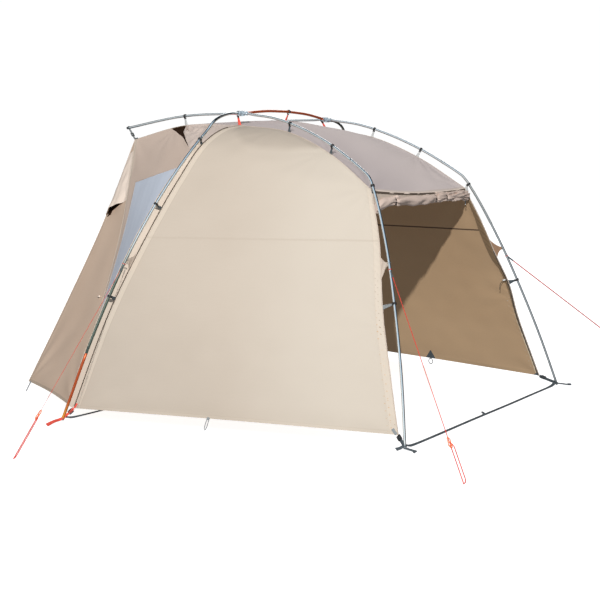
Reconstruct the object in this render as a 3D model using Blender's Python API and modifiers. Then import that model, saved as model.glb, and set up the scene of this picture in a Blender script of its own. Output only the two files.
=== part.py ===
"""Drive-away awning: three bent poles with a fabric shelter hung below them.

World metres, +Z up. X runs from the vehicle mouth (-X) to the door (+X), the awning
is mirrored in the XZ plane, and the origin is at the bottom centre of the whole thing.
"""
import math

import bmesh
import bpy
from mathutils import Matrix, Vector

COLLECTION = "drive_away_awning"
CUTTERS = "cutters"
SIDES = (("near", -1.0), ("far", 1.0))

# Clearances and fabric
GAP = 0.0003
CLOTH = 0.002
WEBBING = 0.002
SEAM_GAP = 0.0005
WELD = 0.0001

# Poles
POLE_R = 0.0095
ARCH_R = 0.0105
POLE_RINGS = 2
POLE_STEPS = 2
REAR_STEPS = 4
ROPE_R = 0.002
ROPE_RINGS = 1

# Long poles: a leaning plane y = FOOT_Y - LEAN * z, and the curve in it as (x, z)
LONG_FOOT_Y = 1.340
LONG_LEAN = 0.3353
LONG_LEG = ((1.415, 0.0037), (1.310, 0.42), (1.182, 0.84), (1.020, 1.29), (0.850, 1.655))
LONG_BEND = ((0.820, 1.707), (0.790, 1.743), (0.745, 1.777), (0.680, 1.820))
LONG_FRONT = ((0.451, 1.956), (0.179, 2.080), (-0.091, 2.167))
LONG_HUB = (-0.4175, 2.216)
LONG_REAR = ((-0.977, 2.212), (-1.568, 2.130))

# Arch: a plane x = ARCH_SLOPE * z + ARCH_X, and the curve in it as (y, z)
ARCH_X = -1.040
ARCH_SLOPE = 0.2809
ARCH_FOOT = ((1.943, 0.0037), (1.900, 0.170), (1.856, 0.363))
ARCH_LEG = ((1.712, 0.840), (1.564, 1.215), (1.325, 1.645), (1.041, 2.009))
ARCH_SHOULDER = ((0.975, 2.078), (0.915, 2.148), (0.870, 2.174), (0.735, 2.210))
ARCH_HUB = (0.597, 2.216)
ARCH_RIDGE = ((0.300, 2.247), (0.0, 2.257))

# Hubs
HUB_CORE_R = 0.019
HUB_WALL = 0.0035
HUB_REACH = 0.052
HUB_STOP = 0.021

# Corners of the fabric as (x, y, z) on the far side
PEAK = (-0.423, 0.620, 2.125)
DOOR_CORNER = (0.815, 0.752, 1.645)
DOOR_HEM = (1.279, 1.283, 0.073)
ARCH_HEM = (-1.019, 1.845, 0.075)
SIDE_HEM = (-1.072, 1.818, 0.075)
MOUTH_HEM = (-2.070, 1.300, 0.080)
MOUTH_CORNER = (-1.500, 0.604, 2.038)

# Points the fabric edges pass through between those corners
ARCH_EDGE = ((1.645, 0.810), (1.425, 1.300), (1.200, 1.700), (0.985, 1.985), (0.800, 2.088))
ROOF_EDGE = ((0.010, 0.614, 2.067), (0.433, 0.668, 1.893))
DOOR_EDGE = ((1.165, 1.143, 0.500), (1.049, 1.005, 0.910), (0.947, 0.872, 1.306))
REAR_EDGE = ((-0.977, 0.598, 2.138),)
SIDE_SEAM = ((-1.137, 1.566, 0.460), (-1.201, 1.313, 0.846), (-1.301, 1.002, 1.342),
             (-1.420, 0.757, 1.760))
MOUTH_EDGE = ((-1.841, 1.067, 0.737), (-1.650, 0.850, 1.345))
SIDE_HEM_MID = (-1.580, 1.530, 0.078)
WALL_HEM_LIFT = 0.004
RIDGE_RISE = 0.060
HEADER_SAG = 0.026
MOUTH_SAG = 0.020

# Cells along each shared fabric edge
N_ARCH = 16
N_ROOF = 12
N_RIDGE = 10
N_SIDE = 8
N_CORNER = 8
WINDOW_CELLS = (1, 7, 4, 12)
SEAM_WARP = 0.080
HOOD_ROWS = 5
HOOD_BULGE = 0.045
HOOD_INSET = 0.006

# Gussets that tie the legs to the walls, and the guys that start there
GUSSET_Z = 1.120
GUSSET_WALL = 0.075
GUSSET_POLE = 0.010
GUSSET_SEAM = 0.0014
GUSSET_CELLS = 3
GUY_DROP = 0.040
PEGS = {
    "door_near": (2.081, 1.875, 0.003),
    "door_far": (2.081, 2.163, 0.003),
    "arch_near": (-0.484, 2.902, 0.003),
    "arch_far": (-0.484, 2.902, 0.003),
}

# Straps
STRAP_W = 0.025
MOUTH_STRAP_W = 0.018
STRAP_START = 0.0015
STRAP_END_Z = 0.018
DOOR_STRAP_BACK = 0.010

# Rolls of the opened door and vehicle panel
ROLL_R = 0.036
ROLL_END = 0.725
ROLL_SWING = 1.010
MOUTH_ROLL_R = 0.028
MOUTH_ROLL_END = 0.560
MOUTH_ROLL_SWING = 0.0
ROLL_RINGS = 4
ROLL_SEAT = 0.0001

# Clips
CLIP_W = 0.018
TAPE_W = 0.014
CLIP_WALL = 0.0035
CLIP_TAPE = 0.002
CLIP_SEAT = 0.0019
ROOF_CLIP_CELL = 7
ARCH_CLIP_CELL = 9
MOUTH_STRAP_FROM_END = 0.020

COLOURS = {
    "silver_pole": ((0.62, 0.66, 0.68), 0.35, 1.0),
    "orange_pole": ((0.80, 0.22, 0.05), 0.40, 0.3),
    "hub_plastic": ((0.62, 0.68, 0.72), 0.25, 0.0),
    "wall_cloth": ((0.74, 0.66, 0.56), 0.85, 0.0),
    "roof_cloth": ((0.50, 0.45, 0.43), 0.85, 0.0),
    "side_cloth": ((0.48, 0.40, 0.32), 0.85, 0.0),
    "window_film": ((0.42, 0.48, 0.58), 0.30, 0.0),
    "webbing": ((0.12, 0.15, 0.16), 0.80, 0.0),
    "red_webbing": ((0.80, 0.10, 0.05), 0.80, 0.0),
    "guy_cord": ((0.80, 0.16, 0.08), 0.70, 0.0),
    "clip_plastic": ((0.03, 0.03, 0.03), 0.50, 0.0),
}


def clear_scene():
    """Remove every object and start the two collections."""
    for obj in list(bpy.data.objects):
        bpy.data.objects.remove(obj, do_unlink=True)
    for name in (COLLECTION, CUTTERS):
        bpy.context.scene.collection.children.link(bpy.data.collections.new(name))


def material(name):
    """The named Principled material, made on first use."""
    mat = bpy.data.materials.get(name)
    if mat is None:
        colour, rough, metal = COLOURS[name]
        mat = bpy.data.materials.new(name)
        mat.use_nodes = True
        shader = mat.node_tree.nodes["Principled BSDF"]
        shader.inputs["Base Color"].default_value = (*colour, 1.0)
        shader.inputs["Roughness"].default_value = rough
        shader.inputs["Metallic"].default_value = metal
    return mat


def add_object(name, data, mat=None, collection=COLLECTION):
    """Link one named object, with its material."""
    obj = bpy.data.objects.new(name, data)
    bpy.data.collections[collection].objects.link(obj)
    if mat:
        data.materials.clear()
        data.materials.append(material(mat))
    return obj


def on_side(point, sign):
    """A far-side point moved to the side that sign names."""
    return Vector((point[0], point[1] * sign, point[2]))


def spline(points, steps):
    """Points on a smooth curve through the given ones, steps cells per gap."""
    pts = [Vector(p) for p in points]
    gaps = [(b - a).length for a, b in zip(pts, pts[1:])]
    slopes = [(b - a) / gap for a, b, gap in zip(pts, pts[1:], gaps)]
    ways = [slopes[0]]
    for i in range(1, len(gaps)):
        whole = gaps[i - 1] + gaps[i]
        ways.append((slopes[i - 1] * gaps[i] + slopes[i] * gaps[i - 1]) / whole)
    ways.append(slopes[-1])
    out = []
    for i, gap in enumerate(gaps):
        for step in range(steps):
            t = step / steps
            start = pts[i] * (2 * t ** 3 - 3 * t ** 2 + 1) + pts[i + 1] * (3 * t ** 2 - 2 * t ** 3)
            lean = ways[i] * (t ** 3 - 2 * t ** 2 + t) + ways[i + 1] * (t ** 3 - t ** 2)
            out.append(start + lean * gap)
    out.append(pts[-1])
    return out


def even(points, cells, warp=0.0, fine=16):
    """The curve through points, cut into cells, of equal length where warp is nought."""
    curve = spline(points, fine)
    reach = [0.0]
    for a, b in zip(curve, curve[1:]):
        reach.append(reach[-1] + (b - a).length)
    out = [curve[0]]
    at = 0
    for cell in range(1, cells):
        part = cell / cells
        want = reach[-1] * (part + warp * math.sin(math.pi * part))
        while reach[at + 1] < want:
            at += 1
        part = (want - reach[at]) / (reach[at + 1] - reach[at])
        out.append(curve[at].lerp(curve[at + 1], part))
    out.append(curve[-1])
    return out


def finish_mesh(name, bm, mat, collection=COLLECTION):
    """Weld, face outwards and link a bmesh."""
    bmesh.ops.remove_doubles(bm, verts=bm.verts, dist=WELD)
    bmesh.ops.recalc_face_normals(bm, faces=bm.faces)
    mesh = bpy.data.meshes.new(name)
    bm.to_mesh(mesh)
    bm.free()
    return add_object(name, mesh, mat, collection)


def rod(name, points, radius, mat, rings=POLE_RINGS, closed=False):
    """A round rod along a run of points."""
    curve = bpy.data.curves.new(name, "CURVE")
    curve.dimensions = "3D"
    curve.bevel_depth = radius
    curve.bevel_resolution = rings
    curve.use_fill_caps = not closed
    line = curve.splines.new("POLY")
    line.points.add(len(points) - 1)
    for point, place in zip(line.points, points):
        point.co = (*place, 1.0)
    line.use_cyclic_u = closed
    return add_object(name, curve, mat)


def solidify(obj, thickness):
    """Give a sheet its thickness, half on either side."""
    mod = obj.modifiers.new("thickness", "SOLIDIFY")
    mod.thickness = thickness
    mod.offset = 0.0
    mod.use_even_offset = False
    return obj


def coons(low, high, left, right):
    """Rows of points on the surface between four edges.

    low and high run from left to right, and left and right run from low to high.
    """
    rows = []
    for j, (side_l, side_r) in enumerate(zip(left, right)):
        v = j / (len(left) - 1)
        row = []
        for i, (edge_l, edge_h) in enumerate(zip(low, high)):
            u = i / (len(low) - 1)
            corner = ((1 - u) * (1 - v) * low[0] + u * (1 - v) * low[-1]
                      + (1 - u) * v * high[0] + u * v * high[-1])
            row.append((1 - v) * edge_l + v * edge_h + (1 - u) * side_l + u * side_r - corner)
        rows.append(row)
    return rows


def inset(rows, low, high, left, right):
    """Pull the four edges of a grid inwards by the given lengths."""
    out = [list(row) for row in rows]

    def pull(edge, inner, length):
        return edge + (inner - edge).normalized() * length

    width = len(rows[0])
    for i in range(width):
        if low:
            out[0][i] = pull(rows[0][i], rows[1][i], low)
        if high:
            out[-1][i] = pull(rows[-1][i], rows[-2][i], high)
    for j, row in enumerate(rows):
        if left:
            out[j][0] = out[j][0] + (row[1] - row[0]).normalized() * left
        if right:
            out[j][-1] = out[j][-1] + (row[-2] - row[-1]).normalized() * right
    return out


def sheet(name, rows, mat, thickness=CLOTH, hole=None):
    """A thin panel over a grid of points, less the cells of hole (i0, i1, j0, j1)."""
    bm = bmesh.new()
    verts = [[bm.verts.new(p) for p in row] for row in rows]
    for j in range(len(rows) - 1):
        for i in range(len(rows[0]) - 1):
            if hole and hole[0] <= i < hole[1] and hole[2] <= j < hole[3]:
                continue
            bm.faces.new((verts[j][i], verts[j][i + 1], verts[j + 1][i + 1], verts[j + 1][i]))
    loose = [v for v in bm.verts if not v.link_faces]
    bmesh.ops.delete(bm, geom=loose, context="VERTS")
    return solidify(finish_mesh(name, bm, mat), thickness)


def ribbon(name, points, across, width, thickness, mat):
    """A flat strap along points, with its width along across."""
    half = Vector(across).normalized() * width / 2
    rows = [[Vector(p) - half, Vector(p) + half] for p in points]
    return sheet(name, rows, mat, thickness)


def long_point(x, z, sign):
    """A point of a long pole's plane."""
    return Vector((x, sign * (LONG_FOOT_Y - LONG_LEAN * z), z))


def arch_point(y, z, sign):
    """A point of the arch's plane."""
    return Vector((ARCH_SLOPE * z + ARCH_X, sign * y, z))


def long_line(sign):
    """A long pole's run from its foot to the hub."""
    marks = (*LONG_LEG, *LONG_BEND, *LONG_FRONT, LONG_HUB)
    return spline([long_point(x, z, sign) for x, z in marks], POLE_STEPS)


def rear_line(sign):
    """A long pole's run from the hub to its rear end."""
    return spline([long_point(x, z, sign) for x, z in (LONG_HUB, *LONG_REAR)], REAR_STEPS)


def arch_line(sign):
    """One half of the arch, from its foot to the hub."""
    marks = (*ARCH_FOOT, *ARCH_LEG, *ARCH_SHOULDER, ARCH_HUB)
    return spline([arch_point(y, z, sign) for y, z in marks], POLE_STEPS)


def ridge_line(sign):
    """One half of the arch's ridge, from the middle to the hub."""
    marks = (*ARCH_RIDGE[::-1], ARCH_HUB)
    return spline([arch_point(y, z, sign) for y, z in marks], REAR_STEPS)


def split(points, at):
    """Cut a run of points in two, across the middle of the cell that starts at index at."""
    along = (points[at + 1] - points[at]).normalized() * GAP / 2
    middle = (points[at] + points[at + 1]) / 2
    return [*points[:at + 1], middle - along], [middle + along, *points[at + 1:]]


def hub_frame(sign):
    """The hub's centre and its four socket directions."""
    centre = long_point(*LONG_HUB, sign)
    ahead = (long_point(*LONG_FRONT[-1], sign) - long_point(*LONG_REAR[0], sign)).normalized()
    inward = (arch_point(*ARCH_RIDGE[0], sign) - arch_point(*ARCH_SHOULDER[-1], sign)).normalized()
    return centre, {"ahead": ahead, "back": -ahead, "inward": inward, "outward": -inward}


def into_hub(points, centre, way):
    """Points of a pole that end in the hub's socket on the side way points to."""
    reach = HUB_REACH + GAP
    clear = [p for p in points if (p - centre).length > 2 * reach]
    return [*clear, centre + way * reach, centre + way * (HUB_STOP + GAP)]


def build_long_poles():
    """Two bent silver poles, each in three sections: leg with its bend, front and rear."""
    for side, sign in SIDES:
        centre, ways = hub_frame(sign)
        cut = (len(LONG_LEG) + len(LONG_BEND) - 1) * POLE_STEPS
        leg, front = split(long_line(sign), cut)
        rod(f"long_pole_leg_{side}", leg, POLE_R, "silver_pole")
        rod(f"long_pole_front_{side}", into_hub(front, centre, ways["ahead"]),
            POLE_R, "silver_pole")
        rod(f"long_pole_rear_{side}", into_hub(rear_line(sign)[::-1], centre, ways["back"]),
            POLE_R, "silver_pole")


def build_arch():
    """The arch across the awning: two orange feet, two legs, two shoulders, one ridge."""
    ridge = []
    for side, sign in SIDES:
        centre, ways = hub_frame(sign)
        foot, rest = split(arch_line(sign), (len(ARCH_FOOT) - 1) * POLE_STEPS)
        leg, shoulder = split(rest, len(ARCH_LEG) * POLE_STEPS)
        rod(f"arch_foot_{side}", foot, ARCH_R, "orange_pole")
        rod(f"arch_leg_{side}", leg, ARCH_R, "silver_pole")
        rod(f"arch_shoulder_{side}", into_hub(shoulder, centre, ways["outward"]),
            ARCH_R, "silver_pole")
        ridge.append(into_hub(ridge_line(sign), centre, ways["inward"]))
    rod("arch_ridge", [*ridge[0][:0:-1], *ridge[1][1:]], ARCH_R, "orange_pole")


def cylinder(bm, start, end, radius, sides=16):
    """Add a closed cylinder between two points."""
    axis = end - start
    turn = axis.to_track_quat("Z", "Y").to_matrix().to_4x4()
    place = Matrix.Translation((start + end) / 2) @ turn
    bmesh.ops.create_cone(bm, cap_ends=True, segments=sides, radius1=radius, radius2=radius,
                          depth=axis.length, matrix=place)


def cylinder_object(name, start, end, radius, mat=None, collection=CUTTERS):
    """A closed cylinder between two points as its own object."""
    bm = bmesh.new()
    cylinder(bm, start, end, radius)
    return finish_mesh(name, bm, mat, collection)


def boolean(obj, tool, operation):
    """Join or cut obj with a tool object."""
    tool.hide_render = True
    tool.display_type = "WIRE"
    mod = obj.modifiers.new(operation.lower(), "BOOLEAN")
    mod.operation = operation
    mod.solver = "EXACT"
    mod.object = tool


def build_hubs():
    """Two clear four-way hubs that hold the crossing poles."""
    for side, sign in SIDES:
        centre, ways = hub_frame(sign)
        across = ways["ahead"].cross(ways["inward"]).normalized()
        body = cylinder_object(f"hub_{side}", centre - across * HUB_CORE_R,
                               centre + across * HUB_CORE_R, HUB_CORE_R, "hub_plastic", COLLECTION)
        for way, axis in ways.items():
            radius = POLE_R if way in ("ahead", "back") else ARCH_R
            socket = cylinder_object(f"socket_{way}_{side}", centre + axis * HUB_WALL,
                                     centre + axis * HUB_REACH, radius + HUB_WALL)
            boolean(body, socket, "UNION")
        for way, axis in ways.items():
            radius = POLE_R if way in ("ahead", "back") else ARCH_R
            bore = cylinder_object(f"bore_{way}_{side}", centre + axis * HUB_STOP,
                                   centre + axis * HUB_REACH * 2, radius + GAP)
            boolean(body, bore, "DIFFERENCE")


def arch_edge(sign):
    """The fabric edge below the arch, from the hem to the peak."""
    points = [on_side(ARCH_HEM, sign)]
    points += [arch_point(y, z, sign) for y, z in ARCH_EDGE]
    points.append(on_side(PEAK, sign))
    return even(points, N_ARCH)


def side_edges(sign):
    """Every fabric edge of one side, from its lower or outer end."""
    def through(start, middle, end, cells, warp=0.0):
        return even([on_side(p, sign) for p in (start, *middle, end)], cells, warp)

    low_mid = tuple((a + b) / 2 for a, b in zip(ARCH_HEM, DOOR_HEM))
    low_mid = (low_mid[0], low_mid[1], low_mid[2] + WALL_HEM_LIFT)
    return {
        "arch": arch_edge(sign),
        "roof": through(PEAK, ROOF_EDGE, DOOR_CORNER, N_ROOF),
        "door": through(DOOR_HEM, DOOR_EDGE, DOOR_CORNER, N_ARCH),
        "hem": through(ARCH_HEM, (low_mid,), DOOR_HEM, N_ROOF),
        "rear": through(MOUTH_CORNER, REAR_EDGE, PEAK, N_SIDE),
        "seam": through(SIDE_HEM, SIDE_SEAM, MOUTH_CORNER, N_ARCH, SEAM_WARP),
        "side_hem": through(SIDE_HEM, (), ARCH_HEM, N_SIDE),
        "mouth": through(MOUTH_HEM, MOUTH_EDGE, MOUTH_CORNER, N_ARCH),
        "corner_hem": through(MOUTH_HEM, (SIDE_HEM_MID,), SIDE_HEM, N_CORNER),
    }


def seam_pull(own, other, edge):
    """How far a panel keeps from an edge it shares, so that both keep a small gap."""
    here = [(a - e).normalized() for a, e in zip(own, edge)]
    there = [(b - e).normalized() for b, e in zip(other, edge)]
    sharp = min(a.angle(b) for a, b in zip(here, there))
    return SEAM_GAP / (2 * math.sin(sharp / 2)) + CLOTH / (2 * math.tan(sharp / 2))


def column(rows, i):
    """One column of a grid."""
    return [row[i] for row in rows]


def panel_grids(sign):
    """The side's wall, tunnel side and tunnel corner as grids of points."""
    edges = side_edges(sign)
    wall = coons(edges["hem"], edges["roof"], edges["arch"], edges["door"])
    side = coons(edges["side_hem"], edges["rear"], edges["seam"], edges["arch"])
    top = [edges["mouth"][-1].lerp(edges["seam"][-1], i / N_CORNER) for i in range(N_CORNER + 1)]
    corner = coons(edges["corner_hem"], top, edges["mouth"], edges["seam"])
    return edges, wall, side, corner


def roof_grids():
    """The two roof panels as grids of points, from the near side to the far side."""
    near, far = side_edges(-1.0), side_edges(1.0)

    def across(start, end, rise):
        points = []
        for i in range(N_RIDGE + 1):
            t = i / N_RIDGE
            points.append(start.lerp(end, t) + Vector((0, 0, 4 * rise * t * (1 - t))))
        return points

    ridge = across(near["roof"][0], far["roof"][0], RIDGE_RISE)
    header = across(near["roof"][-1], far["roof"][-1], -HEADER_SAG)
    mouth = across(near["rear"][0], far["rear"][0], -MOUTH_SAG)
    front = coons(ridge, header, near["roof"], far["roof"])
    rear = coons(mouth, ridge, near["rear"], far["rear"])
    return front, rear


def build_cloth():
    """Roof, walls, tunnel sides with their windows, and tunnel corners."""
    front, rear = roof_grids()
    edges, wall, side, corner = panel_grids(-1.0)
    ridge = front[0]
    at_ridge = seam_pull(front[1], rear[-2], ridge)
    at_roof = seam_pull(wall[-2], column(front, 1), edges["roof"])
    at_rear = seam_pull(side[-2], column(rear, 1), edges["rear"])
    at_arch = seam_pull(column(wall, 1), column(side, -2), edges["arch"])
    at_seam = seam_pull(column(side, 1)[:-1], column(corner, -2)[:-1], edges["seam"][:-1])
    sheet("roof_front", inset(front, at_ridge, 0, at_roof, at_roof), "roof_cloth")
    sheet("roof_rear", inset(rear, 0, at_ridge, at_rear, at_rear), "roof_cloth")
    for name, sign in SIDES:
        _, wall, side, corner = panel_grids(sign)
        sheet(f"wall_{name}", inset(wall, 0, at_roof, at_arch, 0), "wall_cloth")
        side = inset(side, 0, at_rear, at_seam, at_arch)
        sheet(f"tunnel_side_{name}", side, "side_cloth", hole=WINDOW_CELLS)
        i0, i1, j0, j1 = WINDOW_CELLS
        pane = [row[i0:i1 + 1] for row in side[j0:j1 + 1]]
        pane = inset(pane, GAP, GAP, GAP, GAP)
        sheet(f"window_{name}", pane, "window_film")
        sheet(f"tunnel_corner_{name}", inset(corner, 0, 0, 0, at_seam), "side_cloth")


def outward(rows, j, i, sign):
    """The direction a grid faces at one point, away from the awning's middle."""
    last_j, last_i = len(rows) - 1, len(rows[0]) - 1
    up = rows[min(j + 1, last_j)][i] - rows[max(j - 1, 0)][i]
    side = rows[j][min(i + 1, last_i)] - rows[j][max(i - 1, 0)]
    facing = up.cross(side).normalized()
    return facing if facing.y * sign > 0 else -facing


def build_hoods():
    """A vent hood over the top of each tunnel corner, open at its lower edge."""
    for side, sign in SIDES:
        corner = panel_grids(sign)[3]
        first = N_ARCH - HOOD_ROWS
        rows = []
        for j in range(first, N_ARCH):
            open_end = (N_ARCH - 1 - j) / (HOOD_ROWS - 1)
            row = []
            for i, point in enumerate(corner[j]):
                swell = HOOD_BULGE * open_end * math.sin(math.pi * i / N_CORNER)
                row.append(point + outward(corner, j, i, sign) * (CLOTH + SEAM_GAP + swell))
            rows.append(row)
        rows = inset(rows, 0, 0, HOOD_INSET, HOOD_INSET)
        sheet(f"vent_hood_{side}", rows, "wall_cloth")


def at_height(points, z):
    """The point at height z on a run of points, and the run's direction there."""
    for a, b in zip(points, points[1:]):
        if min(a.z, b.z) <= z <= max(a.z, b.z):
            return a.lerp(b, (z - a.z) / (b.z - a.z)), (b - a).normalized()
    return points[-1], (points[-1] - points[-2]).normalized()


def leg_lines(sign):
    """The lower runs of the two legs of one side, each with its radius and fabric edge."""
    edges = side_edges(sign)
    return {
        "door": (long_line(sign), POLE_R, edges["door"]),
        "arch": (arch_line(sign), ARCH_R, edges["arch"]),
    }


def off_pole(way, along, radius, half):
    """How far from a pole's axis a piece that leaves it along way has to start."""
    slant = way.angle(along)
    return (radius + GAP + half * abs(math.cos(slant))) / math.sin(slant)


def build_gussets_and_guys():
    """A cloth gusset from each wall edge to its leg, and the guy that starts there."""
    for side, sign in SIDES:
        for place, (leg, radius, edge) in leg_lines(sign).items():
            ends = [at_height(edge, GUSSET_Z + GUSSET_WALL * part)[0] for part in (-1, 1)]
            inner = [p for p in edge if ends[0].z + WELD < p.z < ends[1].z - WELD]
            pole, along = nearest(leg, (ends[0] + ends[1]) / 2)
            reach = (pole - (ends[0] + ends[1]) / 2).normalized()
            tip = pole - reach * (radius + GAP)
            rows = []
            for start in (ends[0], *inner, ends[1]):
                shift = (start.z - GUSSET_Z) / GUSSET_WALL
                start = start + reach * GUSSET_SEAM
                end = tip + along * GUSSET_POLE * shift
                rows.append([start.lerp(end, i / GUSSET_CELLS) for i in range(GUSSET_CELLS + 1)])
            sheet(f"gusset_{place}_{side}", rows, "wall_cloth")
            peg = on_side(PEGS[f"{place}_{side}"], sign)
            knot, along = nearest(leg, pole - along * GUY_DROP)
            way = (peg - knot).normalized()
            clear = off_pole(way, along, radius, ROPE_R)
            rod(f"guy_rope_{place}_{side}", [knot + way * clear, peg], ROPE_R, "guy_cord",
                rings=ROPE_RINGS)


def build_straps():
    """Ground straps between opposite feet, and short straps from the walls to the feet."""
    feet = {"door": long_point(*LONG_LEG[0], 1.0), "arch": arch_point(*ARCH_FOOT[0], 1.0)}
    reach = {"door": POLE_R, "arch": ARCH_R}
    back = {"door": DOOR_STRAP_BACK, "arch": 0.0}
    for place, foot in feet.items():
        end = foot.y - reach[place] - GAP
        run = [(foot.x - back[place], y, WEBBING / 2) for y in (-end, 0.0, end)]
        ribbon(f"ground_strap_{place}", run, (1, 0, 0), STRAP_W, WEBBING, "webbing")
    for side, sign in SIDES:
        for place, (leg, radius, edge) in leg_lines(sign).items():
            foot, along = at_height(leg, STRAP_END_Z)
            corner = edge[0]
            way = (foot - corner).normalized()
            across = way.cross(along)
            start = corner + way * STRAP_START
            end = foot - way * off_pole(way, along, radius, WEBBING / 2)
            mat = "red_webbing" if place == "arch" else "webbing"
            ribbon(f"foot_strap_{place}_{side}", [start, start.lerp(end, 0.5), end], across,
                   STRAP_W, WEBBING, mat)


def build_mouth_straps():
    """A short strap from each rear pole end down to the mouth's upper corner."""
    for side, sign in SIDES:
        line = rear_line(sign)
        along = (line[-2] - line[-1]).normalized()
        pole = line[-1] + along * MOUTH_STRAP_FROM_END
        corner = on_side(MOUTH_CORNER, sign)
        way = (pole - corner).normalized()
        start = corner + way * (CLOTH / 2 + STRAP_START)
        end = pole - way * off_pole(way, along, POLE_R, WEBBING / 2)
        ribbon(f"mouth_strap_{side}", [start, start.lerp(end, 0.5), end], way.cross(along),
               MOUTH_STRAP_W, WEBBING, "webbing")


def build_rolls():
    """The rolled-up door below the header, and the rolled panel at the vehicle mouth."""
    front, rear = roof_grids()
    for name, edge, inner, radius, end, swing, mat in (
            ("door_roll", front[-1], front[-2], ROLL_R, ROLL_END, ROLL_SWING, "wall_cloth"),
            ("mouth_roll", rear[0], rear[1], MOUTH_ROLL_R, MOUTH_ROLL_END, MOUTH_ROLL_SWING,
             "side_cloth")):
        points = []
        for at, back in zip(edge, inner):
            if abs(at.y) > end:
                continue
            below = (back - at).cross(Vector((0, 1, 0))).normalized()
            below = below if below.z < 0 else -below
            away = (at - back).normalized()
            hang = below * math.cos(swing) + away * math.sin(swing)
            points.append(at + below * CLOTH / 2 + hang * (radius + ROLL_SEAT))
        first, last = points[0].copy(), points[-1].copy()
        first.y, last.y = -end, end
        rod(name, [first, *points, last], radius, mat, rings=ROLL_RINGS)


def box_object(name, start, end, across, width, depth):
    """A slender box from start to end, its width along across."""
    axis = (end - start).normalized()
    wide = (across - axis * across.dot(axis)).normalized()
    turn = Matrix((wide, axis.cross(wide), axis)).transposed().to_4x4()
    size = Matrix.Diagonal((width, depth, (end - start).length, 1.0))
    bm = bmesh.new()
    bmesh.ops.create_cube(bm, size=1.0,
                          matrix=Matrix.Translation((start + end) / 2) @ turn @ size)
    return finish_mesh(name, bm, None, CUTTERS)


def clip(name, pole, along, radius, target):
    """A clip round a pole with a tape down to the cloth."""
    half = along.normalized() * CLIP_W / 2
    outer = radius + GAP + CLIP_WALL
    body = cylinder_object(name, pole - half, pole + half, outer, "clip_plastic", COLLECTION)
    way = (target - pole).normalized()
    tape = box_object(f"tape_{name}", pole + way * (outer - CLIP_WALL / 2),
                      target - way * CLIP_SEAT, along, TAPE_W, CLIP_TAPE)
    boolean(body, tape, "UNION")
    bore = cylinder_object(f"bore_{name}", pole - half * 2, pole + half * 2, radius + GAP)
    boolean(body, bore, "DIFFERENCE")


def nearest(points, target):
    """The point nearest to target on a run, clear of its bends, and the direction there."""
    found = []
    for a, b in zip(points, points[1:]):
        length = (b - a).length
        along = (b - a) / length
        reach = min(max((target - a).dot(along), CLIP_W), length - CLIP_W)
        point = a + along * reach
        found.append(((point - target).length, reach, point, along))
    best = min(found, key=lambda item: item[:2])
    return best[2], best[3]


def cell_middle(edge, at):
    """The middle of one cell of a fabric edge."""
    return (edge[at] + edge[at + 1]) / 2


def build_clips():
    """The clips that hang the cloth from the poles."""
    front, rear = roof_grids()
    ridge = [ridge_line(-1.0)[1], ridge_line(1.0)[1]]
    middle = front[0][N_RIDGE // 2]
    clip("ridge_clip", *nearest(ridge, middle), ARCH_R, middle)
    for side, sign in SIDES:
        edges = side_edges(sign)
        seats = {
            "rear": (rear_line(sign), POLE_R, cell_middle(edges["rear"], N_SIDE // 2)),
            "roof": (long_line(sign), POLE_R, cell_middle(edges["roof"], ROOF_CLIP_CELL)),
            "elbow": (long_line(sign), POLE_R, cell_middle(edges["door"], N_ARCH - 1)),
            "arch": (arch_line(sign), ARCH_R, cell_middle(edges["arch"], ARCH_CLIP_CELL)),
        }
        for place, (line, radius, target) in seats.items():
            at, along = nearest(line, target)
            clip(f"{place}_clip_{side}", at, along, radius, target)


def main():
    """Build every sub-part."""
    clear_scene()
    build_long_poles()
    build_arch()
    build_hubs()
    build_cloth()
    build_hoods()
    build_gussets_and_guys()
    build_straps()
    build_mouth_straps()
    build_rolls()
    build_clips()


main()
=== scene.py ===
"""Looks of the drive-away awning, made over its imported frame.

World metres, +Z up. X runs from the vehicle mouth (-X) to the door (+X), and near (-Y) and
far (+Y) are the two mirrored sides. Cloth, poles and fittings are built on the same named
points as the frame, finer, and each piece rides on the one body, root.
"""

import logging
import math
from dataclasses import dataclass, field
from enum import Enum
from typing import Any, Callable, Optional, Sequence, Union

import bpy
import numpy as np
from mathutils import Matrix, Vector


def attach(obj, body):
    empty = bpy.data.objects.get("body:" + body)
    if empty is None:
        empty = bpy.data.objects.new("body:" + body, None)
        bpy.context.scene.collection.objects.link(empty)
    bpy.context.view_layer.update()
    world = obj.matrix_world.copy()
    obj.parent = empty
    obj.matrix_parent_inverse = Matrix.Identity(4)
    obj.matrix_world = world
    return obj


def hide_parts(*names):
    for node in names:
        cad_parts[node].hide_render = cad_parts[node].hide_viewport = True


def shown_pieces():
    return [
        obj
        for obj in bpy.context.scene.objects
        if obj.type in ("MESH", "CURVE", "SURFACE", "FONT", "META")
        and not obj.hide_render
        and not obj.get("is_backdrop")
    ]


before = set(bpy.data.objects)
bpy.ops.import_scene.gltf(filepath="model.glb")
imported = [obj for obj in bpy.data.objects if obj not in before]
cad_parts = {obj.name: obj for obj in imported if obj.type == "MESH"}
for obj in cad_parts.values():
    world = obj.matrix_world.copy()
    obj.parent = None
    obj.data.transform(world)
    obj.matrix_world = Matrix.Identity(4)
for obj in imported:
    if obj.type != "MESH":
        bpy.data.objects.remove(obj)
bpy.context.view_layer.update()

Points = np.ndarray
Grid = np.ndarray
Colour = tuple[float, float, float]

LOG = logging.getLogger("awning")
BODY = "root"
UV_NAME = "cloth"
GAP = 0.0003
INSIDE = np.array((-0.35, 0.0, 0.9))
DOWN = np.array((0.0, 0.0, -1.0))
# Defaults of the layers that every mesh carries; on the walls, crown and flap place painted shade
LAYERS = {"end": 1.0, "seam": 1.0, "flap": 1.0, "crown": -1.0}


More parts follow.
